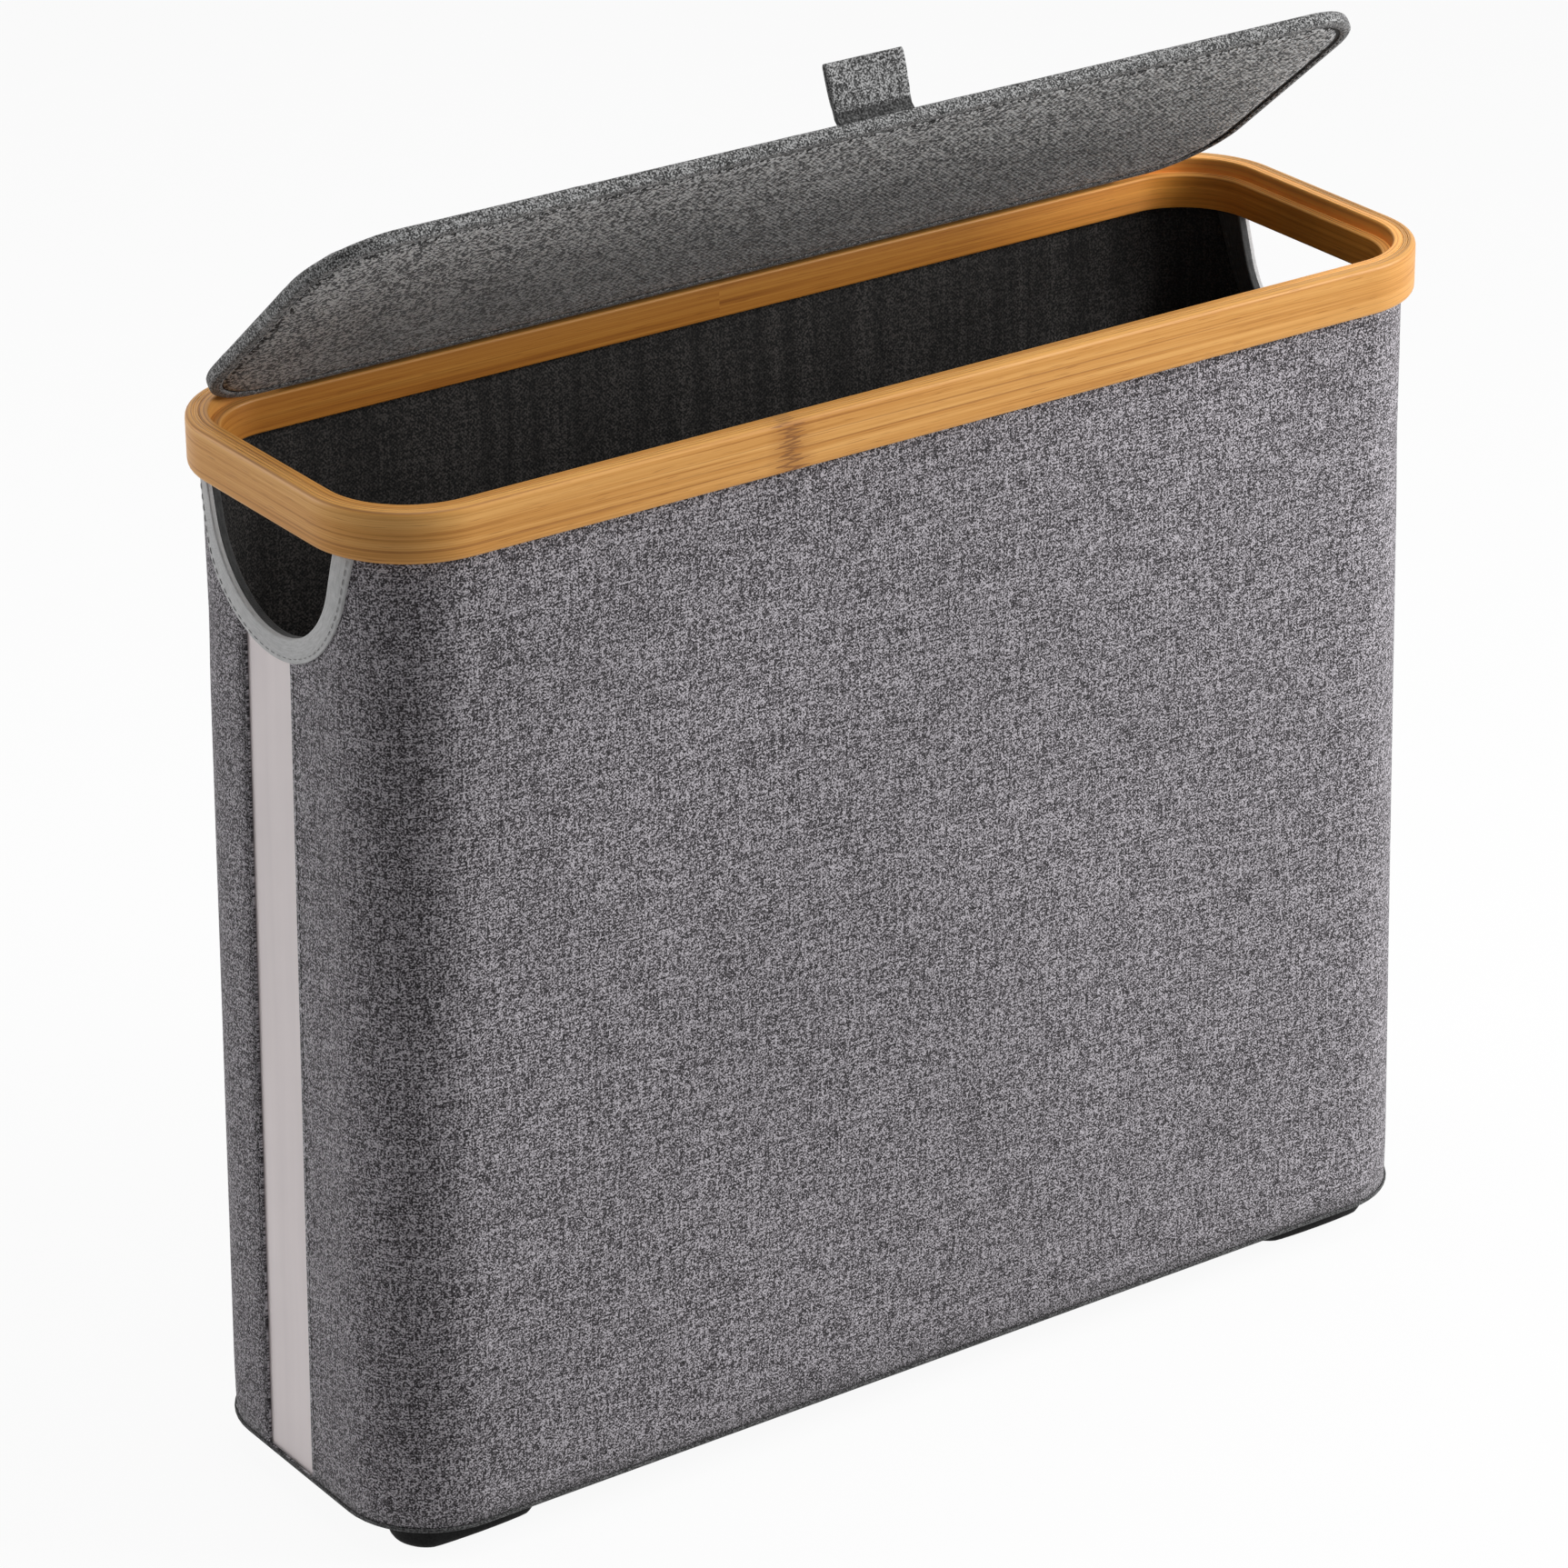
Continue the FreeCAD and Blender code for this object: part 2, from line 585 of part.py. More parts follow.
# Base: a board with cloth under it, piping round the bottom edge, and four screwed feet

def base_plate(label, level, thickness, hole, depth):
    """A plate that fills the basket's outline at the bottom, with holes for the foot screws."""
    body = new_body(label)
    plan = body_sketch(body, label + "_plan", "XY_Plane", level)
    length = "base_length - 2 * base_inset"
    add_rounded_rectangle(plan, "plan", length, "base_depth - 2 * base_inset", "wall_corner - base_inset")
    pad(body, plan, thickness)
    holes = body_sketch(body, label + "_holes", "XY_Plane", level)
    for corner, side_x, side_y in corners():
        add_circle(holes, corner, f"screw_shank / 2 + {hole}", side_x, "foot_x", side_y, "foot_y")
    pocket_up(body, holes, depth)


def make_base():
    base_plate("base_cover", "foot_height", "base_cloth", "screw_slack", "base_cloth")
    base_plate("base_board_plate", "foot_height + base_cloth", "base_board", "screw_bite", "screw_grip")

    body = new_body("bottom_piping")
    plan = body_sketch(body, "bottom_piping_plan", "XY_Plane", "foot_height")
    for side, growth in (("outer", "piping_gap + piping_width"), ("inner", "piping_gap")):
        length = f"base_length + 2 * ({growth})"
        depth = f"base_depth + 2 * ({growth})"
        add_rounded_rectangle(plan, side, length, depth, f"wall_corner + {growth}")
    ring = pad(body, plan, "piping_height")
    edges = rim_edges(ring.Shape, value("foot_height"), True)
    edges += rim_edges(ring.Shape, value("foot_height + piping_height"), True)
    bevel_off(body, ring, edges, "piping_bevel")


def make_foot(label, side_x, side_y):
    """A bevelled block with a screw hole in its middle and a recess below for the screw's head."""
    body = new_body(label)
    plan = body_sketch(body, label + "_plan", "XY_Plane")
    add_rounded_rectangle(plan, "plan", "foot_length", "foot_width", "foot_corner")
    block = pad(body, plan, "foot_height")
    bevel_off(body, block, rim_edges(block.Shape, 0, True), "foot_bevel")
    drills = (("hole", "screw_shank / 2 + screw_slack", "foot_height"),
              ("recess", "screw_head / 2 + screw_slack", "head_top"))
    for name, radius, depth in drills:
        sketch = body_sketch(body, f"{label}_{name}", "XY_Plane")
        add_circle(sketch, name, radius)
        pocket_up(body, sketch, depth)
    bind(body, "Placement.Base.x", f"({side_x}) * foot_x")
    bind(body, "Placement.Base.y", f"({side_y}) * foot_y")


def cylinder(name, radius, low, high, x, y):
    solid = doc.addObject("Part::Cylinder", name)
    bind(solid, "Radius", radius)
    bind(solid, "Height", f"({high}) - ({low})")
    bind(solid, "Placement.Base.x", x)
    bind(solid, "Placement.Base.y", y)
    bind(solid, "Placement.Base.z", low)
    return solid


def make_feet():
    screws = []
    tip = "foot_height + base_cloth + screw_grip"
    for corner, side_x, side_y in corners():
        make_foot(corner + "_foot", side_x, side_y)
        place = (f"({side_x}) * foot_x", f"({side_y}) * foot_y")
        head = cylinder(corner + "_head", "screw_head / 2", "screw_recess", "head_top", *place)
        shank = cylinder(corner + "_shank", "screw_shank / 2", "head_top", tip, *place)
        screws.append(combine("Fuse", corner + "_screw", head, shank))
    group = doc.addObject("Part::Compound", "screws")
    group.Links = screws
    piece(group, "foot_screws")


# Lid: modelled shut with the hinge line as its origin, then swung open about it

def hang_on_hinge(item):
    """Puts a lid piece on the hinge line, opened to the angle that the lid stands at."""
    item.Placement.Rotation = FreeCAD.Rotation(FreeCAD.Vector(-1, 0, 0), value("lid_open"))
    bind(item, "Placement.Rotation.Angle", "lid_open")
    bind(item, "Placement.Base.y", "hinge_y")
    bind(item, "Placement.Base.z", "rim_top")


def lid_plate(label, inset, low, thickness):
    body = new_body(label)
    plan = body_sketch(body, label + "_plan", "XY_Plane", low, "-lid_depth / 2")
    length = f"lid_length - 2 * ({inset})"
    add_rounded_rectangle(plan, "plan", length, f"lid_depth - 2 * ({inset})", f"lid_corner - ({inset})")
    pad(body, plan, thickness)
    hang_on_hinge(body)


def lid_block(name, inset, low, edge):
    """The lid's outline moved in by inset, from low up to the crowned top whose edge is at a height."""
    sections = []
    for station, place, rise in (("left", "-lid_length / 2", "lid_end_crown"), ("middle", "0", "lid_crown"),
                                 ("right", "lid_length / 2", "lid_end_crown")):
        sketch = end_sketch(f"{name}_{station}", place, "-lid_depth / 2")
        add_crown_section(sketch, "lid_depth / 2", low, edge, rise)
        sections.append(sketch)
    crown = loft(name + "_crown", sections, ruled=False)
    return combine("Common", name, crown, lid_prism(name, inset, low, "2 * lid_edge + lid_crown"))


def lid_prism(name, inset, low, height):
    plan = plan_sketch(name + "_plan", low, "-lid_depth / 2")
    length = f"lid_length - 2 * ({inset})"
    add_rounded_rectangle(plan, "plan", length, f"lid_depth - 2 * ({inset})", f"lid_corner - ({inset})")
    return extrude(name + "_prism", plan, FreeCAD.Vector(0, 0, 1), height)


def make_lid():
    lid_plate("lid_underside_panel", "lid_hem + lid_seam", "-lid_edge", "lid_panel")
    lid_plate("lid_core_board", "lid_cloth", "lid_panel - lid_edge", "lid_board")

    filling = lid_block("lid_filling", "lid_cloth", "lid_panel - lid_edge", "-lid_cloth")
    above_board = box("above_lid_board", ("-reach_x", "reach_x"), ("-2 * reach_y", "reach_y"),
                      ("pad_bottom", "pad_bottom + 2 * lid_edge + lid_crown"))
    hang_on_hinge(piece(combine("Common", "padding", filling, above_board), "lid_padding"))

    outside = lid_block("lid_outside", "0", "-lid_edge", "0")
    shell = combine("Cut", "lid_shell", outside, filling)
    below = lid_prism("lid_recess", "lid_hem", "-lid_edge", "lid_panel")
    hang_on_hinge(piece(combine("Cut", "cover", shell, below), "lid_cover"))

    inner_face = "rim_depth / 2 - hoop"
    strip = box("hinge_strip", ("-hinge_half", "hinge_half"),
                (f"{inner_face} - hinge_cloth", inner_face), ("rim_top - ledge_drop", "rim_top - hinge_drop"))
    piece(strip, "lid_hinge_strip")


# Pull tab: a folded loop of cloth, sewn together at its root

def make_tab():
    body = new_body("pull_tab")
    profile = body_sketch(body, "pull_tab_profile", "YZ_Plane")
    add_slot(profile, "fold", "0", "tab_length - tab_thick / 2", "tab_thick / 2")
    add_slot(profile, "slit", "tab_sewn", "tab_length - tab_thick / 2", "tab_slit / 2")
    pad(body, profile, "tab_width", both_ways=True)
    body.Placement.Rotation = FreeCAD.Rotation(FreeCAD.Vector(-1, 0, 0), value("lid_open"))
    bind(body, "Placement.Rotation.Angle", "lid_open + tab_angle - 90")
    bind(body, "Placement.Base.y", "hinge_y + tab_root_y * cos(lid_open) + tab_root_z * sin(lid_open)")
    bind(body, "Placement.Base.z", "rim_top - tab_root_y * sin(lid_open) + tab_root_z * cos(lid_open)")


def check():
    """Stops before anything is written if an object failed or a sub-part isn't sound."""
    for item in doc.Objects:
        if "Invalid" in item.State or "Error" in item.State:
            raise RuntimeError(item.Name + " failed")
    for item in PIECES:
        if item.Shape.isNull() or not item.Shape.isValid() or not item.Shape.Solids:
            raise RuntimeError(item.Label + " has no sound solid")


make_rim()
make_wall()
make_base()
make_feet()
make_lid()
make_tab()
doc.recompute()
check()
os.makedirs("parts", exist_ok=True)
for item in PIECES:
    item.Shape.exportStep(f"parts/{item.Label}.step")
    print(item.Label, len(item.Shape.Solids), round(item.Shape.Volume, 1))
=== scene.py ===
import math

import bmesh
import bpy
import numpy as np
from mathutils import Matrix, Vector
from mathutils.geometry import delaunay_2d_cdt


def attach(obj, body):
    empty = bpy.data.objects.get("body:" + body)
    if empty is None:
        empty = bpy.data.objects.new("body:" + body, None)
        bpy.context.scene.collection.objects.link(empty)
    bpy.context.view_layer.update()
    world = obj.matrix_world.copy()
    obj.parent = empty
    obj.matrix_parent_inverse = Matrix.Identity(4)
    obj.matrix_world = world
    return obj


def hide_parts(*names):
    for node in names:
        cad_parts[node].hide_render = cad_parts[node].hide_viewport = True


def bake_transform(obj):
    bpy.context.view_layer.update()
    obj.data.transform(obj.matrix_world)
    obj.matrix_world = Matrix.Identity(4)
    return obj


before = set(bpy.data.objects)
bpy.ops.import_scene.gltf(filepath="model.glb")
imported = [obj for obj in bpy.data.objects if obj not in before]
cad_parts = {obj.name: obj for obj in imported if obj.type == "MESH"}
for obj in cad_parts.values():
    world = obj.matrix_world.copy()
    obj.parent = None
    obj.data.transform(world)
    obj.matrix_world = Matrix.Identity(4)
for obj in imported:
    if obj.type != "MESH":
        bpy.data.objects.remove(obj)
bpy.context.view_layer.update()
MM = 0.001

# Sizes of the part, in millimetres. All its loops share one pair of straight half lengths.
HALF_A, HALF_B = 174.0, 32.5
LOW_A, LOW_B = 179.85, 31.6
WALL_R, RIM_R, LID_R = 31.65, 36.0, 27.4
WALL_LOW, WALL_BEND, SHOULDER, WALL_TOP = 12.0, 16.9, 298.0, 355.7
RIM_LOW, RIM_TOP, INNER_LOW, LEDGE_TOP = 348.0, 365.0, 356.0, 360.0
SLEEVE, LINING_OUT, LINING_IN = 0.8, 2.3, 2.9
HANDLE_R, HANDLE_Z, HANDLE_FLARE = 36.0, 343.0, math.radians(15.0)
TAPE_WIDTH, TAPE, TAPE_TURN, TAPE_TOP = 7.0, 0.8, 0.9, 347.8
WINDOW_FRONT, WINDOW_BACK, WINDOW_SEAM = -8.5, 18.5, 5.0
FLOOR_LOW, FLOOR_TOP, LINING_LOW = 16.32, 16.9, 16.3
UNDER_LOW, UNDER_TOP = 12.02, 12.78
SLEEVE_SLOT, LINING_SLOT, CUT_CLEAR = 13.3, 19.9, 1.6
WINDOW_TAIL, WINDOW_LOW, WINDOW_HIGH = 12.9, 16.45, 337.0
PIPING_OUT, PIPING_Z, PIPING_HALF, PIPING_RISE = 0.50, 12.70, 0.38, 0.66
HINGE_Y, LID_HALF_X, LID_HALF_Y, LID_EDGE = 59.9, 201.4, 59.9, 4.7
LID_OPEN = math.radians(40.0)
TAB_ROOT = (0.0, -29.936736, 442.601165)
TAB_LEAN = math.radians(21.0)
TAB_HALF, TAB_TURN = 14.5, 16.2
HINGE_HALF, HINGE_THICK = 164.8, 0.44
STITCH_PITCH, STITCH_LENGTH = 3.4, 2.3
BASE_GRID = (np.arange(-200, 201, 12.5), np.arange(-56, 57, 11.2))
LID_GRID = (np.arange(-198, 199, 7.0), np.arange(-116, 0, 7.0))
FOOT_LENGTH, FOOT_WIDTH, FOOT_X, FOOT_Y = 52.0, 26.0, 174.25, 39.75

# The loop that every hoop, wall and lid edge follows: centre of the bend, in half lengths, and heading
LOOP_STATIONS = ((0, 1, 90), (-1, 1, 90), (-1, 1, 180), (-1, -1, 180), (-1, -1, 270),
                 (1, -1, 270), (1, -1, 360), (1, 1, 360), (1, 1, 450), (0, 1, 450))
BEND = math.pi / 2 * WALL_R
LOOP_LENGTHS = (HALF_A, BEND, 2 * HALF_B, BEND, 2 * HALF_A, BEND, 2 * HALF_B, BEND, HALF_A)
LOOP_STARTS = np.concatenate(([0.0], np.cumsum(LOOP_LENGTHS)))
LOOP_LENGTH = LOOP_STARTS[-1]
LEFT_MIDDLE = HALF_A + BEND + HALF_B
FRONT_MIDDLE = LOOP_LENGTH / 2
RIGHT_MIDDLE = LOOP_LENGTH - LEFT_MIDDLE


def smooth_step(x, low, high):
    t = np.clip((np.asarray(x, float) - low) / (high - low), 0, 1)
    return t * t * (3 - 2 * t)


def around(s, radius, half_a=HALF_A, half_b=HALF_B):
    """x and y of the points at the distances s along the loop whose bends have that radius."""
    s = np.asarray(s, float)
    i = np.clip(np.searchsorted(LOOP_STARTS, s, side="right") - 1, 0, len(LOOP_LENGTHS) - 1)
    t = (s - LOOP_STARTS[i]) / np.asarray(LOOP_LENGTHS)[i]
    table = np.asarray(LOOP_STATIONS, float)
    here = table[i] * (1 - t)[..., None] + table[i + 1] * t[..., None]
    heading = np.radians(here[..., 2])
    return here[..., 0] * half_a + radius * np.cos(heading), here[..., 1] * half_b + radius * np.sin(heading)


def wall_halves(z):
    """Straight half lengths of the wall at a height."""
    t = np.clip((np.asarray(z, float) - WALL_BEND) / (SHOULDER - WALL_BEND), 0, 1)
    return LOW_A + (HALF_A - LOW_A) * t, LOW_B + (HALF_B - LOW_B) * t


def wall_point(s, z, depth):
    """A point of the wall, depth under its outer face."""
    half_a, half_b = wall_halves(z)
    x, y = around(s, WALL_R - depth, half_a, half_b)
    return np.stack([x, y, np.broadcast_to(np.asarray(z, float), x.shape)], -1)


def end_point(side, y, z, depth):
    """A point of the left (-1) or right (1) end of the wall, found by its y and z."""
    half_a, half_b = wall_halves(z)
    radius = WALL_R - depth
    past = np.clip((np.abs(y) - half_b) / radius, 0, 1)
    return np.stack([side * (half_a + radius * np.sqrt(1 - past * past)), y, z], -1)


def end_distance(side, y, z):
    """The distance along the loop at which a point of an end lies."""
    half_b = wall_halves(z)[1]
    y = np.asarray(y, float)
    past = np.clip((np.abs(y) - half_b) / WALL_R, 0, 1)
    along = np.minimum(np.abs(y), half_b) * HALF_B / half_b + WALL_R * np.arcsin(past)
    return (LEFT_MIDDLE if side < 0 else RIGHT_MIDDLE) + side * np.sign(y) * along


def loop_columns(long_step, short_step, bend_steps):
    """Distances along the loop, closer together in its bends."""
    out = []
    for i, length in enumerate(LOOP_LENGTHS):
        bend = i % 2 == 1
        steps = bend_steps if bend else max(2, round(length / (long_step if length > 100 else short_step)))
        out.extend(LOOP_STARTS[i] + length * np.arange(steps) / steps)
    return np.array(out)


# Mesh code

def new_piece(name, points, faces, uv=None, section=None):
    """A smooth mesh from points in millimetres. uv and section are per face corner, in millimetres."""
    mesh = bpy.data.meshes.new(name)
    mesh.from_pydata([tuple(p) for p in np.asarray(points) * MM], [], [tuple(int(i) for i in f) for f in faces])
    for layer_name, values in (("along", uv), ("section", section)):
        if values is not None:
            layer = mesh.uv_layers.new(name=layer_name)
            layer.data.foreach_set("uv", (np.asarray(values, float) * MM).astype(np.float32).ravel())
    mesh.polygons.foreach_set("use_smooth", [True] * len(mesh.polygons))
    mesh.validate()
    skin = bmesh.new()
    skin.from_mesh(mesh)
    bmesh.ops.recalc_face_normals(skin, faces=skin.faces)
    skin.to_mesh(mesh)
    skin.free()
    piece = bpy.data.objects.new(name, mesh)
    bpy.context.collection.objects.link(piece)
    return piece


def inside(points, outline):
    """Which points lie inside a closed outline."""
    x, y = points[:, 0], points[:, 1]
    hit = np.zeros(len(points), bool)
    for (x0, y0), (x1, y1) in zip(outline, np.roll(outline, -1, axis=0)):
        if y0 != y1:
            hit ^= ((y0 > y) != (y1 > y)) & (x < (x1 - x0) * (y - y0) / (y1 - y0) + x0)
    return hit


def distance_to(points, outline):
    """Distance of each point from a closed outline."""
    best = np.full(len(points), np.inf)
    for p, q in zip(outline, np.roll(outline, -1, axis=0)):
        d = q - p
        t = np.clip(((points - p) @ d) / max(d @ d, 1e-9), 0, 1)
        best = np.minimum(best, np.linalg.norm(points - p - t[:, None] * d, axis=1))
    return best


def cut_out(points, cuts=(), clear=0.0):
    """Triangles of a flat cloth through the points, less what lies inside the cuts' outlines."""
    points = np.asarray(points, float)
    for outline in cuts:
        points = points[distance_to(points, outline) > clear]
    coords, edges = [Vector(p) for p in points], []
    for outline in cuts:
        first, count = len(coords), len(outline)
        coords.extend(Vector(p) for p in outline)
        edges.extend((first + i, first + (i + 1) % count) for i in range(count))
    flat, _, faces = delaunay_2d_cdt(coords, edges, [], 0, 1e-5)[:3]
    flat = np.array([tuple(p) for p in flat])
    faces = np.array([f for f in faces if len(f) == 3])
    low, high = points.min(0), points.max(0)
    middle = flat[faces].mean(1)
    keep = np.all((middle > low) & (middle < high), axis=1)
    for outline in cuts:
        keep &= ~inside(middle, outline)
    faces = faces[keep]
    used, faces = np.unique(faces, return_inverse=True)
    faces = faces.reshape(-1, 3)
    flat = flat[used]
    a, b, c = (flat[faces[:, k]] for k in range(3))
    turned = (b[:, 0] - a[:, 0]) * (c[:, 1] - a[:, 1]) < (b[:, 1] - a[:, 1]) * (c[:, 0] - a[:, 0])
    faces[turned] = faces[turned][:, ::-1]
    return flat, faces


def cloth(name, flat, faces, front, back, wrap=None):
    """A cloth with a thickness: front and back give the two faces' points from the flat cut's.
    wrap is the length after which the cut meets itself."""
    count = len(flat)
    weld = np.arange(count)
    if wrap is not None:
        start = np.flatnonzero(flat[:, 0] < 1e-4)
        for i in np.flatnonzero(flat[:, 0] > wrap - 1e-4):
            weld[i] = start[np.argmin(np.abs(flat[start, 1] - flat[i, 1]))]
    points = np.concatenate([front(flat), back(flat)])
    joined = weld[faces]
    borders = {}
    for corner, face in enumerate(joined):
        for k in range(3):
            p, q = face[k], face[(k + 1) % 3]
            borders[(p, q)] = (faces[corner][k], faces[corner][(k + 1) % 3])
    rim = [(key, flats) for key, flats in borders.items() if (key[1], key[0]) not in borders]
    all_faces = [tuple(f) for f in joined] + [tuple(f[::-1] + count) for f in joined]
    uv = [flat[i] for f in faces for i in f] + [flat[i] for f in faces for i in f[::-1]]
    for (p, q), (u, v) in rim:
        all_faces.append((q, p, p + count, q + count))
        uv += [flat[v], flat[u], flat[u], flat[v]]
    used, packed = np.unique(np.concatenate([np.asarray(f) for f in all_faces]), return_inverse=True)
    sizes = np.cumsum([0] + [len(f) for f in all_faces])
    all_faces = [packed[sizes[i]:sizes[i + 1]] for i in range(len(all_faces))]
    return new_piece(name, points[used], all_faces, uv)


def rounded(corners, radii, steps):
    """A closed section with its corners rounded."""
    out = []
    corners = np.asarray(corners, float)
    for i, radius in enumerate(radii):
        here, before, after = corners[i], corners[i - 1], corners[(i + 1) % len(corners)]
        if radius <= 0:
            out.append(here)
            continue
        p = here + (before - here) / np.linalg.norm(before - here) * radius
        q = here + (after - here) / np.linalg.norm(after - here) * radius
        for t in np.linspace(0, 1, steps + 1):
            out.append((1 - t) ** 2 * p + 2 * t * (1 - t) * here + t * t * q)
    return np.array(out)


def distances(points):
    """Distance of each point along a line of points."""
    return np.concatenate([[0], np.cumsum(np.linalg.norm(np.diff(points, axis=0), axis=1))])


def sweep(name, rows, along, path_length=None, section=None):
    """A skin over rows of points: rows[i] is the section at the distance along[i]. A path with a length meets
    itself, and one without has its two ends closed."""
    rows = np.asarray(rows, float)
    n, m = rows.shape[:2]
    across = distances(np.concatenate([rows[0], rows[0][:1]]))
    along = [*along, path_length]
    faces, uv, sec = [], [], []
    for i in range(n if path_length else n - 1):
        for j in range(m):
            i2, j2 = (i + 1) % n, (j + 1) % m
            faces.append((i * m + j, i2 * m + j, i2 * m + j2, i * m + j2))
            uv += [(along[i], across[j]), (along[i + 1], across[j]),
                   (along[i + 1], across[j + 1]), (along[i], across[j + 1])]
            if section is not None:
                sec += [section[j], section[j], section[j2], section[j2]]
    if not path_length:
        for i, order in ((0, range(m)), (n - 1, range(m - 1, -1, -1))):
            faces.append([i * m + j for j in order])
            uv += [(along[i], across[j]) for j in order]
    return new_piece(name, rows.reshape(-1, 3), faces, uv, sec or None)


def hoop(name, profile):
    """A closed hoop: profile is (inset from the rim's outer face, height)."""
    columns = loop_columns(14, 9, 16)
    rows = []
    for s in columns:
        x, y = around(np.full(len(profile), s), RIM_R - profile[:, 0])
        rows.append(np.stack([x, y, profile[:, 1]], -1))
    return sweep(name, rows, columns, LOOP_LENGTH, profile)


def stitches(name, path, up, radius, pitch, length):
    """Sewn thread: short humped capsules at an even pitch along a path, standing up from the cloth."""
    lengths = distances(path)
    at = np.arange(0.5 * pitch, lengths[-1] - 0.3 * pitch, pitch)
    before, places, after = (np.stack([np.interp(at + step, lengths, path[:, k]) for k in range(3)], -1)
                             for step in (-0.4, 0.0, 0.4))
    rings, sides = 6, 6
    t = np.linspace(-1, 1, rings)
    girth = radius * np.sqrt(np.clip(1.05 - t ** 4, 0.08, 1))
    hump = radius * 0.9 * (1 - t * t)
    turn = np.arange(sides) * 2 * math.pi / sides
    n = np.asarray(up, float) / np.linalg.norm(up)
    points, faces = [], []
    for place, d in zip(places, after - before):
        d = d / np.linalg.norm(d)
        side = np.cross(d, n)
        first = len(points)
        for k in range(rings):
            middle = place + d * t[k] * length / 2 + n * hump[k]
            points += [middle + girth[k] * (math.cos(a) * side + math.sin(a) * n) for a in turn]
        for k in range(rings - 1):
            for j in range(sides):
                a, b = first + k * sides + j, first + k * sides + (j + 1) % sides
                faces.append((a, b, b + sides, a + sides))
        faces.append([first + j for j in range(sides - 1, -1, -1)])
        faces.append([first + (rings - 1) * sides + j for j in range(sides)])
    uv = [points[i][:2] for f in faces for i in f]
    return new_piece(name, points, faces, uv)


def left_of(line):
    """Unit vectors to the left of a flat line of points."""
    ahead = np.gradient(line, axis=0)
    ahead /= np.linalg.norm(ahead, axis=1)[:, None]
    return np.stack([-ahead[:, 1], ahead[:, 0]], -1)


def fill(border, grid_x, grid_y, clear):
    """A border's points, and those of a grid that lie inside and clear of it."""
    grid = np.array([(x, y) for x in grid_x for y in grid_y])
    return np.concatenate([border, grid[inside(grid, border) & (distance_to(grid, border) > clear)]])


# Materials, built from nodes

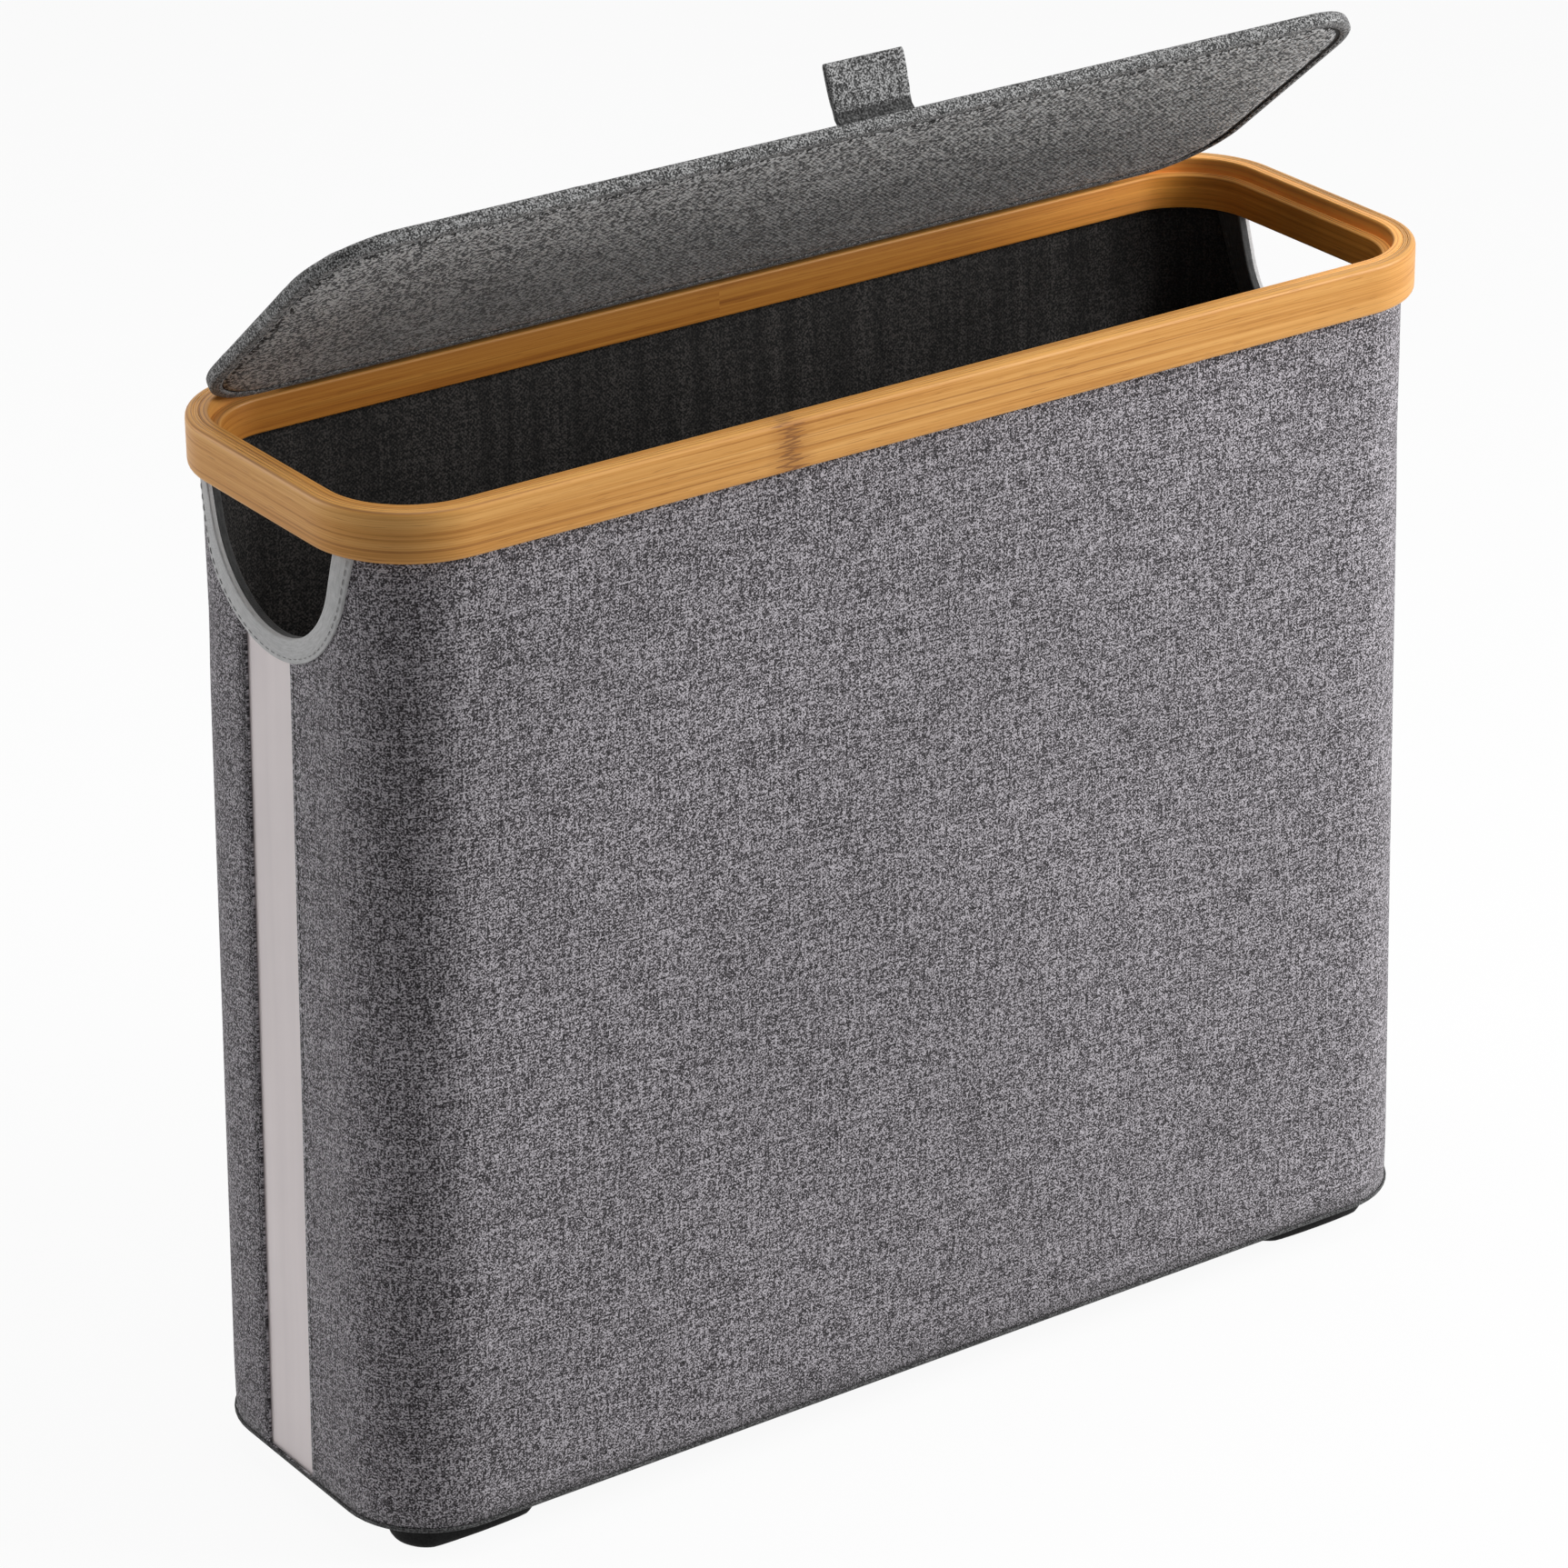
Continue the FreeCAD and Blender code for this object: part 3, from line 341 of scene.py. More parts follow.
class Nodes:
    """Short calls that add nodes to a new material or world."""

    def __init__(self, name, kind="materials", shader="Principled BSDF"):
        self.owner = getattr(bpy.data, kind).new(name)
        self.owner.use_nodes = True
        self.tree = self.owner.node_tree
        self.shader = self.tree.nodes[shader]

    def put(self, kind, inputs=(), **settings):
        node = self.tree.nodes.new(kind)
        for key, setting in settings.items():
            setattr(node, key, setting)
        for key, source in dict(inputs).items():
            self.feed(node.inputs[key], source)
        return node

    def feed(self, socket, source):
        if isinstance(source, bpy.types.NodeSocket):
            self.tree.links.new(source, socket)
        else:
            socket.default_value = source

    def math(self, operation, a, b=0.0, clamp=False):
        return self.put("ShaderNodeMath", {0: a, 1: b}, operation=operation, use_clamp=clamp).outputs[0]

    def times(self, a, b):
        return self.math("MULTIPLY", a, b)

    def plus(self, a, b):
        return self.math("ADD", a, b)

    def minus(self, a, b):
        return self.math("SUBTRACT", a, b)

    def uv(self, layer="along"):
        split = self.put("ShaderNodeSeparateXYZ", {0: self.put("ShaderNodeUVMap", uv_map=layer).outputs[0]})
        return split.outputs[0], split.outputs[1]

    def position(self):
        split = self.put("ShaderNodeSeparateXYZ", {0: self.put("ShaderNodeTexCoord").outputs["Object"]})
        return split.outputs

    def vector(self, x, y, z=0.0):
        return self.put("ShaderNodeCombineXYZ", {0: x, 1: y, 2: z}).outputs[0]

    def noise(self, vector, scale=1.0, detail=2.0, roughness=0.5):
        return self.put("ShaderNodeTexNoise", {"Vector": vector, "Scale": scale, "Detail": detail,
                                               "Roughness": roughness}).outputs[0]

    def streaks(self, u, v, per_u, per_v, offset=0.0, detail=2.0, roughness=0.5):
        """Noise stretched by its two frequencies, in turns per metre."""
        vector = self.vector(self.times(u, per_u), self.times(v, per_v), offset)
        return self.noise(vector, 1.0, detail, roughness)

    def fit(self, value, low, high, to_low=0.0, to_high=1.0):
        return self.put("ShaderNodeMapRange", {"Value": value, "From Min": low, "From Max": high,
                                               "To Min": to_low, "To Max": to_high}).outputs[0]

    def spread(self, noise, to_low=0.0, to_high=1.0):
        """A noise's usual range."""
        return self.fit(noise, 0.3, 0.7, to_low, to_high)

    def ramp(self, value, *stops):
        """Colours at places along a value. One number is an even grey."""
        node = self.put("ShaderNodeValToRGB", {0: value})
        elements = node.color_ramp.elements
        while len(elements) < len(stops):
            elements.new(0.5)
        for element, (place, colour) in zip(elements, stops):
            element.position = place
            element.color = (*np.broadcast_to(colour, 3), 1)
        return node.outputs[0]

    def mix(self, share, a, b, blend="MIX"):
        node = self.put("ShaderNodeMix", data_type="RGBA", blend_type=blend)
        self.feed(node.inputs[0], share)
        for socket, source in ((node.inputs[6], a), (node.inputs[7], b)):
            self.feed(socket, source if isinstance(source, bpy.types.NodeSocket) else (*np.broadcast_to(source, 3), 1))
        return node.outputs[2]

    def grey(self, value):
        return self.put("ShaderNodeCombineColor", {0: value, 1: value, 2: value}).outputs[0]

    def seen(self):
        """1 for what the camera sees, also in gloss and through clear sheet."""
        path = self.put("ShaderNodeLightPath").outputs
        return self.math("MAXIMUM", path["Is Camera Ray"],
                         self.math("MAXIMUM", path["Is Glossy Ray"], path["Is Transmission Ray"]))

    def shade(self, colour, value):
        """A colour times a grey value."""
        return self.mix(1.0, colour, self.grey(value), "MULTIPLY")

    def total(self, *terms):
        """The sum of values, each times its share."""
        first, *rest = (self.times(value, share) for value, share in terms)
        for term in rest:
            first = self.plus(first, term)
        return first

    def finish(self, colour, roughness, height=None, strength=0.3, distance=0.0004, **constants):
        self.feed(self.shader.inputs["Base Color"], colour)
        self.feed(self.shader.inputs["Roughness"], roughness)
        if height is not None:
            bump = self.put("ShaderNodeBump", {"Height": height, "Strength": strength, "Distance": distance})
            self.feed(self.shader.inputs["Normal"], bump.outputs[0])
        for key, setting in constants.items():
            self.shader.inputs[key.replace("_", " ")].default_value = setting
        return self.owner


def woven(name, dark, middle, light, yarn=0.58, contrast=1.0, sheen=0.15, band=None, ribs=False):
    """Heathered weave: short light and dark yarns that cross, with flecks and slubs. yarn is their thickness
    in millimetres, band a painted shadow at a seam, its shade and where it fades along v, and ribs adds upright
    gathers, with their light and shade painted into the colour."""
    n = Nodes(name)
    u, v = n.uv()
    per = 1000.0 / yarn
    rise, fall = n.plus(u, v), n.minus(u, v)
    weft = n.streaks(u, v, per * 0.22, per * 0.95, 3.1, 2.0, 0.6)
    warp = n.streaks(u, v, per * 0.95, per * 0.22, 9.7, 2.0, 0.6)
    slant = n.streaks(rise, fall, per * 0.22, per * 0.70, 5.3, 1.0)
    back_slant = n.streaks(rise, fall, per * 0.70, per * 0.22, 13.9, 1.0)
    speckle = n.noise(n.vector(u, v, 0.37), per * 0.95, 1.0)
    slub = n.plus(n.streaks(u, v, per * 0.04, per * 0.55, 21.3, 1.0),
                  n.streaks(u, v, per * 0.55, per * 0.04, 27.1, 1.0))
    turn = 2 * math.pi * per / 2
    over = n.fit(n.times(n.math("SINE", n.times(u, turn)), n.math("SINE", n.times(v, turn))), -0.5, 0.5)
    value = n.total((n.plus(weft, warp), 0.15), (n.plus(slant, back_slant), 0.15),
                    (speckle, 0.40), (n.minus(slub, 1.0), 0.07))
    spread = 0.058 / contrast
    tone = n.fit(value, 0.5 - spread, 0.5 + spread)
    colour = n.ramp(tone, (0.0, dark), (0.5, middle), (1.0, light))
    fleck = n.math("MAXIMUM", n.streaks(u, v, per * 0.09, per * 0.60, 45.0, 1.0),
                   n.streaks(u, v, per * 0.60, per * 0.09, 51.0, 1.0))
    colour = n.mix(n.fit(fleck, 0.66, 0.74, 0.0, 0.55), colour, light)
    broad = n.noise(n.vector(u, v, 5.0), 9.0)
    colour = n.shade(colour, n.spread(broad, 0.93, 1.07))
    # Painted shadow at a seam: darker towards v = 0, fading out along v
    if band is not None:
        low, high, shade = band
        colour = n.shade(colour, n.fit(v, low, high, shade, 1.0))
    height = n.total((value, 0.7), (over, 0.3))
    if ribs:
        # Gathers: relief, and their light and shade painted into the colour as stripes
        rib = n.streaks(u, v, 170.0, 5.0, 33.0, 2.0, 0.55)
        colour = n.shade(colour, n.fit(rib, 0.35, 0.68, 0.75, 1.55))
        height = n.plus(height, n.times(rib, 1.6))
    return n.finish(colour, n.spread(value, 0.95, 0.82), height, 0.55, 0.0005,
                    Sheen_Weight=sheen, Sheen_Roughness=0.5, Specular_IOR_Level=0.25)


def bamboo(name, pale, golden, brown, face_seed):
    """Laminated bamboo: long fine grain, short dark fibres, a growth node, and glue lines on the top edge."""
    n = Nodes(name)
    u, v = n.uv()
    inset, height = n.uv("section")
    x = n.position()[0]
    long_grain = n.streaks(u, v, 5.0, 520.0, face_seed, 4.0, 0.62)
    fine_grain = n.streaks(u, v, 16.0, 1900.0, face_seed + 4.0, 3.0, 0.6)
    strips = n.streaks(u, v, 1.2, 170.0, face_seed + 8.0, 1.0)
    value = n.total((long_grain, 0.55), (fine_grain, 0.25), (strips, 0.20))
    colour = n.ramp(n.fit(value, 0.35, 0.65), (0.0, brown), (0.42, golden), (1.0, pale))
    fibre = n.streaks(u, v, 85.0, 2300.0, face_seed + 12.0, 1.0)
    colour = n.mix(n.fit(fibre, 0.64, 0.74, 0.0, 0.55), colour, brown)
    seam = n.streaks(u, v, 2.2, 620.0, face_seed + 16.0, 1.0)
    colour = n.mix(n.fit(seam, 0.62, 0.70, 0.0, 0.55), colour, brown)
    # The growth node on the front: a stack of short dark dashes that step to and fro
    along = n.minus(u, NODE_AT * MM)
    step = n.minus(n.streaks(0.0, height, 1.0, 800.0, 31.0, 2.0, 0.7), 0.5)
    off = n.math("ABSOLUTE", n.plus(along, n.times(step, 0.030)))
    width = n.fit(n.streaks(0.0, height, 1.0, 900.0, 37.0, 1.0), 0.36, 0.60, 0.0010, 0.0034)
    node = n.math("DIVIDE", n.minus(width, off), 0.0008, clamp=True)
    near = n.fit(n.math("ABSOLUTE", along), 0.0095, 0.0020, 0.0, 0.42)
    colour = n.mix(near, colour, brown)
    colour = n.mix(n.times(node, 0.85), colour, NODE_DARK)
    # Glue lines between the thin layers of each ply, plain on the top and bottom edges
    layer = n.math("ABSOLUTE", n.minus(n.math("FRACT", n.math("DIVIDE", inset, LAYER)), 0.5))
    broken = n.fit(n.streaks(u, v, 30.0, 90.0, 41.0), 0.35, 0.6, 0.35, 1.0)
    line = n.times(n.fit(layer, 0.24, 0.06), broken)
    bends = n.fit(n.math("ABSOLUTE", x), 0.150, 0.196, 0.65, 1.0)
    normal = n.put("ShaderNodeNewGeometry").outputs["True Normal"]
    level = n.math("ABSOLUTE", n.put("ShaderNodeSeparateXYZ", {0: normal}).outputs[2])
    line = n.times(n.times(line, bends), n.fit(level, 0.55, 0.9))
    colour = n.mix(n.times(line, 0.85), colour, GLUE)
    # Painted highlights on the plies' top edges, and painted light on the inner plies at the right end
    ledge_top_highlight = n.times(n.fit(inset, 0.0072, 0.0075), n.fit(height, 0.3591, 0.3598))
    top_highlight = n.math("MAXIMUM", n.fit(height, 0.3642, 0.3649), ledge_top_highlight)
    highlight_share = n.minus(0.45, n.times(line, 0.4))
    colour = n.mix(n.times(top_highlight, highlight_share), colour, PALE)
    # Painted bounce light: the inner plies are lightened towards the right end
    right = n.times(n.fit(x, 0.10, 0.19, 0.0, 0.95), n.fit(inset, 0.0040, 0.0044))
    colour = n.shade(colour, n.plus(right, 1.0))
    rough = n.spread(value, 0.52, 0.38)
    relief = n.total((long_grain, 0.5), (fine_grain, 0.5), (line, -0.6))
    return n.finish(colour, rough, relief, 0.30, 0.00035, Coat_Weight=0.05, Coat_Roughness=0.35,
                    Specular_IOR_Level=0.25)


def tape(name, dark, light):
    """Flat binding tape: fine close ribs along its length."""
    n = Nodes(name)
    u, v = n.uv()
    rib = n.math("SINE", n.times(u, 2 * math.pi / 0.0009))
    fine = n.streaks(u, v, 300.0, 1600.0, 2.0, 2.0, 0.6)
    broad = n.streaks(u, v, 30.0, 60.0, 6.0)
    value = n.total((fine, 0.7), (broad, 0.3))
    colour = n.ramp(n.spread(value), (0.0, dark), (1.0, light))
    relief = n.plus(n.times(rib, 0.25), fine)
    return n.finish(colour, n.spread(fine, 0.85, 0.7), relief, 0.3, 0.0003, Sheen_Weight=0.1,
                    Specular_IOR_Level=0.3)


def vinyl(name):
    """Milky clear sheet with faint drawn streaks and a soft gloss."""
    n = Nodes(name)
    u, v = n.uv()
    drawn = n.streaks(u, v, 160.0, 5.0, 1.0)
    cloud = n.noise(n.vector(u, v, 3.0), 22.0, 3.0, 0.55)
    value = n.total((drawn, 0.5), (cloud, 0.5))
    colour = n.ramp(n.spread(value), (0.0, (0.77, 0.695, 0.70)), (1.0, (0.87, 0.79, 0.79)))
    # Painted light: the strip is lighter towards its bottom and slightly darker above
    colour = n.shade(colour, n.fit(v, 0.03, 0.22, 1.06, 0.98))
    return n.finish(colour, n.spread(cloud, 0.28, 0.42), drawn, 0.12, 0.0004,
                    Transmission_Weight=0.12, Specular_IOR_Level=0.45, IOR=1.5)


def moulded(name, low, high):
    """Matt moulded plastic: fine spark-eroded grain and rubbed, paler high spots."""
    n = Nodes(name)
    place = n.vector(*n.position())
    grain = n.noise(place, 1400.0, 3.0, 0.6)
    cloud = n.noise(place, 60.0, 3.0)
    value = n.total((grain, 0.5), (cloud, 0.5))
    colour = n.ramp(n.spread(value), (0.0, low), (1.0, high))
    return n.finish(colour, n.spread(grain, 0.85, 0.65), grain, 0.25, 0.0002, Specular_IOR_Level=0.12)


def pressed_board(name, low, high):
    """Pressed board with flecks of fibre."""
    n = Nodes(name)
    x, y, z = n.position()
    drawn_out = n.vector(*(n.times(axis, per) for axis, per in ((x, 90.0), (y, 400.0), (z, 400.0))))
    fibre = n.noise(drawn_out, 1.0, 3.0, 0.6)
    fleck = n.noise(n.vector(x, y, z), 700.0, 2.0, 0.6)
    value = n.total((fibre, 0.6), (fleck, 0.4))
    colour = n.ramp(n.spread(value), (0.0, low), (1.0, high))
    return n.finish(colour, n.spread(fleck, 0.95, 0.8), value, 0.2, 0.0003)


def plated(name):
    """Zinc plate with fine turned marks."""
    n = Nodes(name)
    place = n.vector(*n.position())
    marks = n.noise(place, 2600.0, 2.0, 0.6)
    cloud = n.noise(place, 240.0, 3.0)
    colour = n.ramp(n.spread(cloud), (0.0, (0.50, 0.50, 0.48)), (1.0, (0.66, 0.67, 0.68)))
    return n.finish(colour, n.spread(marks, 0.42, 0.25), marks, 0.1, 0.0001, Metallic=1.0)


def thread(name, dark, light):
    """Spun sewing thread, with its twist."""
    n = Nodes(name)
    u, v = n.uv()
    twist = n.math("SINE", n.times(n.plus(u, v), 2 * math.pi / 0.0006))
    fuzz = n.noise(n.vector(u, v, 0.2), 900.0, 2.0, 0.6)
    value = n.total((twist, 0.2), (fuzz, 1.0))
    colour = n.ramp(n.fit(value, 0.3, 0.8), (0.0, dark), (1.0, light))
    return n.finish(colour, n.spread(fuzz, 0.8, 0.6), value, 0.3, 0.0002, Sheen_Weight=0.1)


# The bamboo's growth node, in millimetres along the loop, and its glued layers, in metres
NODE_AT = FRONT_MIDDLE - 59.4
NODE_DARK = (0.22, 0.085, 0.020)
GLUE = (0.16, 0.065, 0.018)
LAYER = 0.00132

GREY = woven("grey_linen_look", (0.012, 0.010, 0.012), (0.105, 0.095, 0.105), (0.46, 0.435, 0.465), contrast=1.12)
LID_GREY = woven("lid_linen_look", 0.012, (0.116, 0.116, 0.115), 0.48, yarn=0.9, contrast=3.0)
LID_SHELL = woven("lid_shell_linen_look", 0.012, 0.098, 0.36)
# The tab's cloth carries a painted shadow at its root, where it tucks into the lid's edge
TAB_GREY = woven("tab_linen_look", 0.015, 0.105, 0.36, yarn=0.6, band=(0.0016, 0.0028, 0.25))
# The lining's gathers have their light and shade painted into its colour
DARK_LINING = woven("charcoal_lining", 0.003, (0.013, 0.012, 0.011), (0.040, 0.036, 0.034), yarn=0.7, sheen=0.02,
                    ribs=True)
UNDER_GREY = woven("base_cloth", 0.02, (0.07, 0.07, 0.072), (0.16, 0.16, 0.165))
PALE = (0.72, 0.385, 0.115)
GOLDEN = (0.55, 0.250, 0.052)
BROWN = (0.26, 0.085, 0.010)
OUTER_BAMBOO = bamboo("bamboo_outer", PALE, GOLDEN, BROWN, 1.0)
# Inner plies: a more orange copy of the outer bamboo, darkened partly as painted shade for the inside of the rim
SHADED_INNER_BAMBOO = bamboo("bamboo_inner_painted_shade", (0.56, 0.255, 0.048), (0.43, 0.165, 0.024), (0.24, 0.075, 0.009), 17.0)
TAPE_GREY = tape("grey_tape", (0.37, 0.37, 0.372), (0.55, 0.55, 0.552))
TAPE_INSIDE = tape("charcoal_tape", 0.020, (0.050, 0.051, 0.051))
# Near-black cloth for the tab's root: painted shadow
TAB_ROOT_SHADOW_CLOTH = woven("tab_root_painted_shadow", 0.006, 0.028, 0.09, yarn=0.7)
PIPING_DARK = woven("dark_piping", 0.016, (0.052, 0.052, 0.053), (0.13, 0.13, 0.132), yarn=0.6)
CLEAR = vinyl("milky_vinyl")
BLACK = moulded("black_plastic", 0.006, 0.022)
BOARD = pressed_board("pressed_board", (0.26, 0.20, 0.14), (0.48, 0.40, 0.30))
LID_BOARD = pressed_board("dark_board", 0.010, (0.032, 0.031, 0.030))
STEEL = plated("zinc_plate")
GREY_THREAD = thread("grey_thread", 0.24, 0.42)
DARK_THREAD = thread("dark_thread", 0.015, 0.06)


def dress(piece, material, body, slot, *nodes):
    """Material and body of a piece, and the nodes that it stands for; slot is not used. A blended piece has no one
    body.
    """
    piece.data.materials.clear()
    piece.data.materials.append(material)
    if nodes:
        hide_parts(*nodes)
    if body:
        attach(piece, body)
    return piece


def sew(name, path, up, material, body, slot, radius, pitch=STITCH_PITCH, length=STITCH_LENGTH):
    """A row of stitches, dressed."""
    dress(stitches(name, path, up, radius, pitch, length), material, body, slot)


# Rim: bent plies with softened edges, so that a groove shows between them

def make_rim():
    # Name, node, material, inset of the two faces, height of the two edges, softening of the corners
    for name, node, material, (near, far), (low, top), soft, steps in (
            ("outer_strip", "outer_ply", OUTER_BAMBOO, (0, 2.56), (RIM_LOW, RIM_TOP), (2.0, 2.0, 0.25, 0.3), 6),
            ("middle_strip", "middle_ply", OUTER_BAMBOO, (2.64, 4.16), (RIM_LOW, RIM_TOP - 0.02),
             (0.2, 0.25, 0.25, 0.2), 3),
            ("inner_strip", "inner_ply", SHADED_INNER_BAMBOO, (4.24, 7.4), (INNER_LOW, RIM_TOP), (0.2, 0.25, 0.8, 0.2), 4),
            ("ledge_strip", "ledge_hoop", SHADED_INNER_BAMBOO, (7.46, 11.0), (RIM_LOW, LEDGE_TOP), (0.2, 0.2, 0.9, 0.9), 4)):
        profile = rounded([(near, low), (near, top), (far, top), (far, low)], soft, steps)
        dress(hoop(f"rim_{name}", profile), material, "basket", "bamboo", f"rim_{node}")


# Wall: outer cloth and lining, cut from one flat length each

def handle_outline(growth, top):
    """The hand opening's outline in y and z, grown by an amount, open at the top."""
    radius = HANDLE_R + growth
    y0, z0 = radius * math.cos(HANDLE_FLARE), HANDLE_Z - radius * math.sin(HANDLE_FLARE)
    rise = np.linspace(0, top - z0, 11)
    right = np.stack([y0 + rise * math.tan(HANDLE_FLARE), z0 + rise], -1)
    angle = np.linspace(math.pi + HANDLE_FLARE, 2 * math.pi - HANDLE_FLARE, 41)[1:-1]
    bottom = np.stack([radius * np.cos(angle), HANDLE_Z + radius * np.sin(angle)], -1)
    return np.concatenate([(right * (-1, 1))[::-1], bottom, right])


def end_cuts(window_low):
    """Outlines of the hand openings and the slots for the clear strips, along the loop and up."""
    cuts = []
    for side in (-1, 1):
        up = np.linspace(window_low, HANDLE_Z - HANDLE_R + 12, 40)
        slot = np.stack([np.repeat((WINDOW_BACK, WINDOW_FRONT), len(up)), np.concatenate([up, up[::-1]])], -1)
        for outline in (handle_outline(0.0, RIM_TOP), slot):
            cuts.append(np.stack([end_distance(side, *outline.T), outline[:, 1]], -1))
    return cuts


def ripple(s, z, seed, long_wave, high_wave):
    """Slow, even swelling of a cloth, between 0 and 1."""
    rng = np.random.default_rng(seed)
    total = np.zeros(len(s))
    for _ in range(7):
        turns = rng.integers(1, max(2, round(LOOP_LENGTH / long_wave)))
        lift = rng.uniform(0.3, 1.0) / high_wave
        total += rng.uniform(0.5, 1.0) * np.sin(2 * math.pi * (turns * s / LOOP_LENGTH + lift * z)
                                                + rng.uniform(0, 2 * math.pi))
    return 0.5 + 0.5 * np.tanh(total / 1.6)


def from_ends(s):
    """Distance along the loop from the middle of the nearer end."""
    return np.minimum(np.abs(s - LEFT_MIDDLE), np.abs(s - RIGHT_MIDDLE))


def beside_handles(ends, z):
    """0 beside the hand openings, 1 away from them."""
    return 1 - (1 - smooth_step(ends, 46, 66)) * smooth_step(z, 270, 298)


def wall_cloth(name, columns, levels, slot_low, front, back, drift):
    """A cloth round the whole wall: front and back are its faces' depths, and drift moves both."""
    grid = np.array([(s, z) for z in levels for s in columns])
    flat, faces = cut_out(grid, end_cuts(slot_low), CUT_CLEAR)
    return cloth(name, flat, faces, lambda p: wall_point(p[:, 0], p[:, 1], front + drift(p)),
                 lambda p: wall_point(p[:, 0], p[:, 1], back + drift(p)), wrap=LOOP_LENGTH)


def make_wall():
    columns = np.append(loop_columns(9.0, 7.0, 14), LOOP_LENGTH)

    def swell(p):
        s, z = p[:, 0], p[:, 1]
        ends = from_ends(s)
        held = smooth_step(WALL_TOP - z, 8, 26) * smooth_step(z - WALL_LOW, 2, 16)
        held *= beside_handles(ends, z)
        held *= smooth_step(ends, 18, 40) * 0.9 + 0.1
        return -0.05 - 0.45 * held * ripple(s, z, 5, 120.0, 260.0)

    sleeve = wall_cloth("outer_sleeve_cloth", columns, np.linspace(WALL_LOW, WALL_TOP, 37), SLEEVE_SLOT,
                        0.0, SLEEVE, swell)
    dress(sleeve, GREY, "basket", "grey_cloth", "outer_sleeve")
    make_lining(columns)


def make_lining(columns):
    def hang(p):
        s, z = p[:, 0], p[:, 1]
        ends = from_ends(s)
        free = smooth_step(WALL_TOP - z, 8, 30) * smooth_step(z, 17, 40)
        free *= smooth_step(ends, 20, 50) * 0.9 + 0.1
        free *= beside_handles(ends, z)
        return 1.3 * free * ripple(s, z, 8, 60.0, 140.0)

    lining = wall_cloth("lining_wall_cloth", columns, np.linspace(LINING_LOW, WALL_TOP, 31), LINING_SLOT,
                        LINING_OUT, LINING_IN, hang)
    dress(lining, DARK_LINING, "basket", "lining_cloth", "lining")

    border = np.stack(around(columns[:-1], WALL_R - LINING_IN - 0.05, LOW_A, LOW_B), -1)
    flat, faces = cut_out(fill(border, *BASE_GRID, 4))

    def quilt(p):
        edge = smooth_step(distance_to(p, border), 0, 14)
        return 0.35 * edge * (1 + np.sin(p[:, 0] / 17.0) * np.sin(p[:, 1] / 12.0))

    floor = cloth("lining_floor_cloth", flat, faces,
                  lambda p: np.column_stack([p, FLOOR_TOP + quilt(p)]),
                  lambda p: np.column_stack([p, FLOOR_LOW + quilt(p)]))
    dress(floor, DARK_LINING, "basket", "lining_cloth")


# Bindings of the hand openings, with two rows of stitches

def make_binding(side, end):
    growths = rounded([(-TAPE, -TAPE), (TAPE_WIDTH, -TAPE), (TAPE_WIDTH, -0.02), (-0.02, -0.02),
                       (-0.02, LINING_IN + 0.02), (TAPE_WIDTH, LINING_IN + 0.02),
                       (TAPE_WIDTH, LINING_IN + TAPE), (-TAPE, LINING_IN + TAPE), (-TAPE, TAPE_TURN)],
                      [0.7, 0.35, 0.2, 0.0, 0.0, 0.2, 0.35, 0.7, 0.0], 3)
    if side < 0:
        growths = growths[::-1]
    outlines = [handle_outline(g, TAPE_TOP) for g in growths[:, 0]]
    rows = []
    for i in range(len(outlines[0])):
        at = np.array([o[i] for o in outlines])
        rows.append(end_point(side, at[:, 0], at[:, 1], growths[:, 1]))
    piece = sweep(f"{end}_handle_tape", rows, distances(handle_outline(0.0, TAPE_TOP)))
    dress(piece, TAPE_GREY, "basket", "binding_tape", f"{end}_handle_binding")
    piece.data.materials.append(TAPE_INSIDE)
    for face in piece.data.polygons:
        j = face.index % len(growths)
        pair = growths[[j, (j + 1) % len(growths)]]
        depth, growth = pair[:, 1].min(), pair[:, 0].max()
        turned_in = depth > LINING_IN or (depth >= TAPE_TURN and growth < -0.1)
        if len(face.vertices) == 4 and turned_in:
            face.material_index = 1
    line = handle_outline(TAPE_WIDTH - 1.5, TAPE_TOP - 1.0)
    for face, depth, out in (("outer", -TAPE - 0.02, 1), ("inner", LINING_IN + TAPE + 0.02, -1)):
        path = end_point(side, line[:, 0], line[:, 1], np.full(len(line), depth))
        sew(f"{end}_{face}_tape_stitches", path, (side * out, 0.0, 0.0), GREY_THREAD if out > 0 else DARK_THREAD,
            "basket", "binding_tape", 0.17)


# Clear strips in the ends

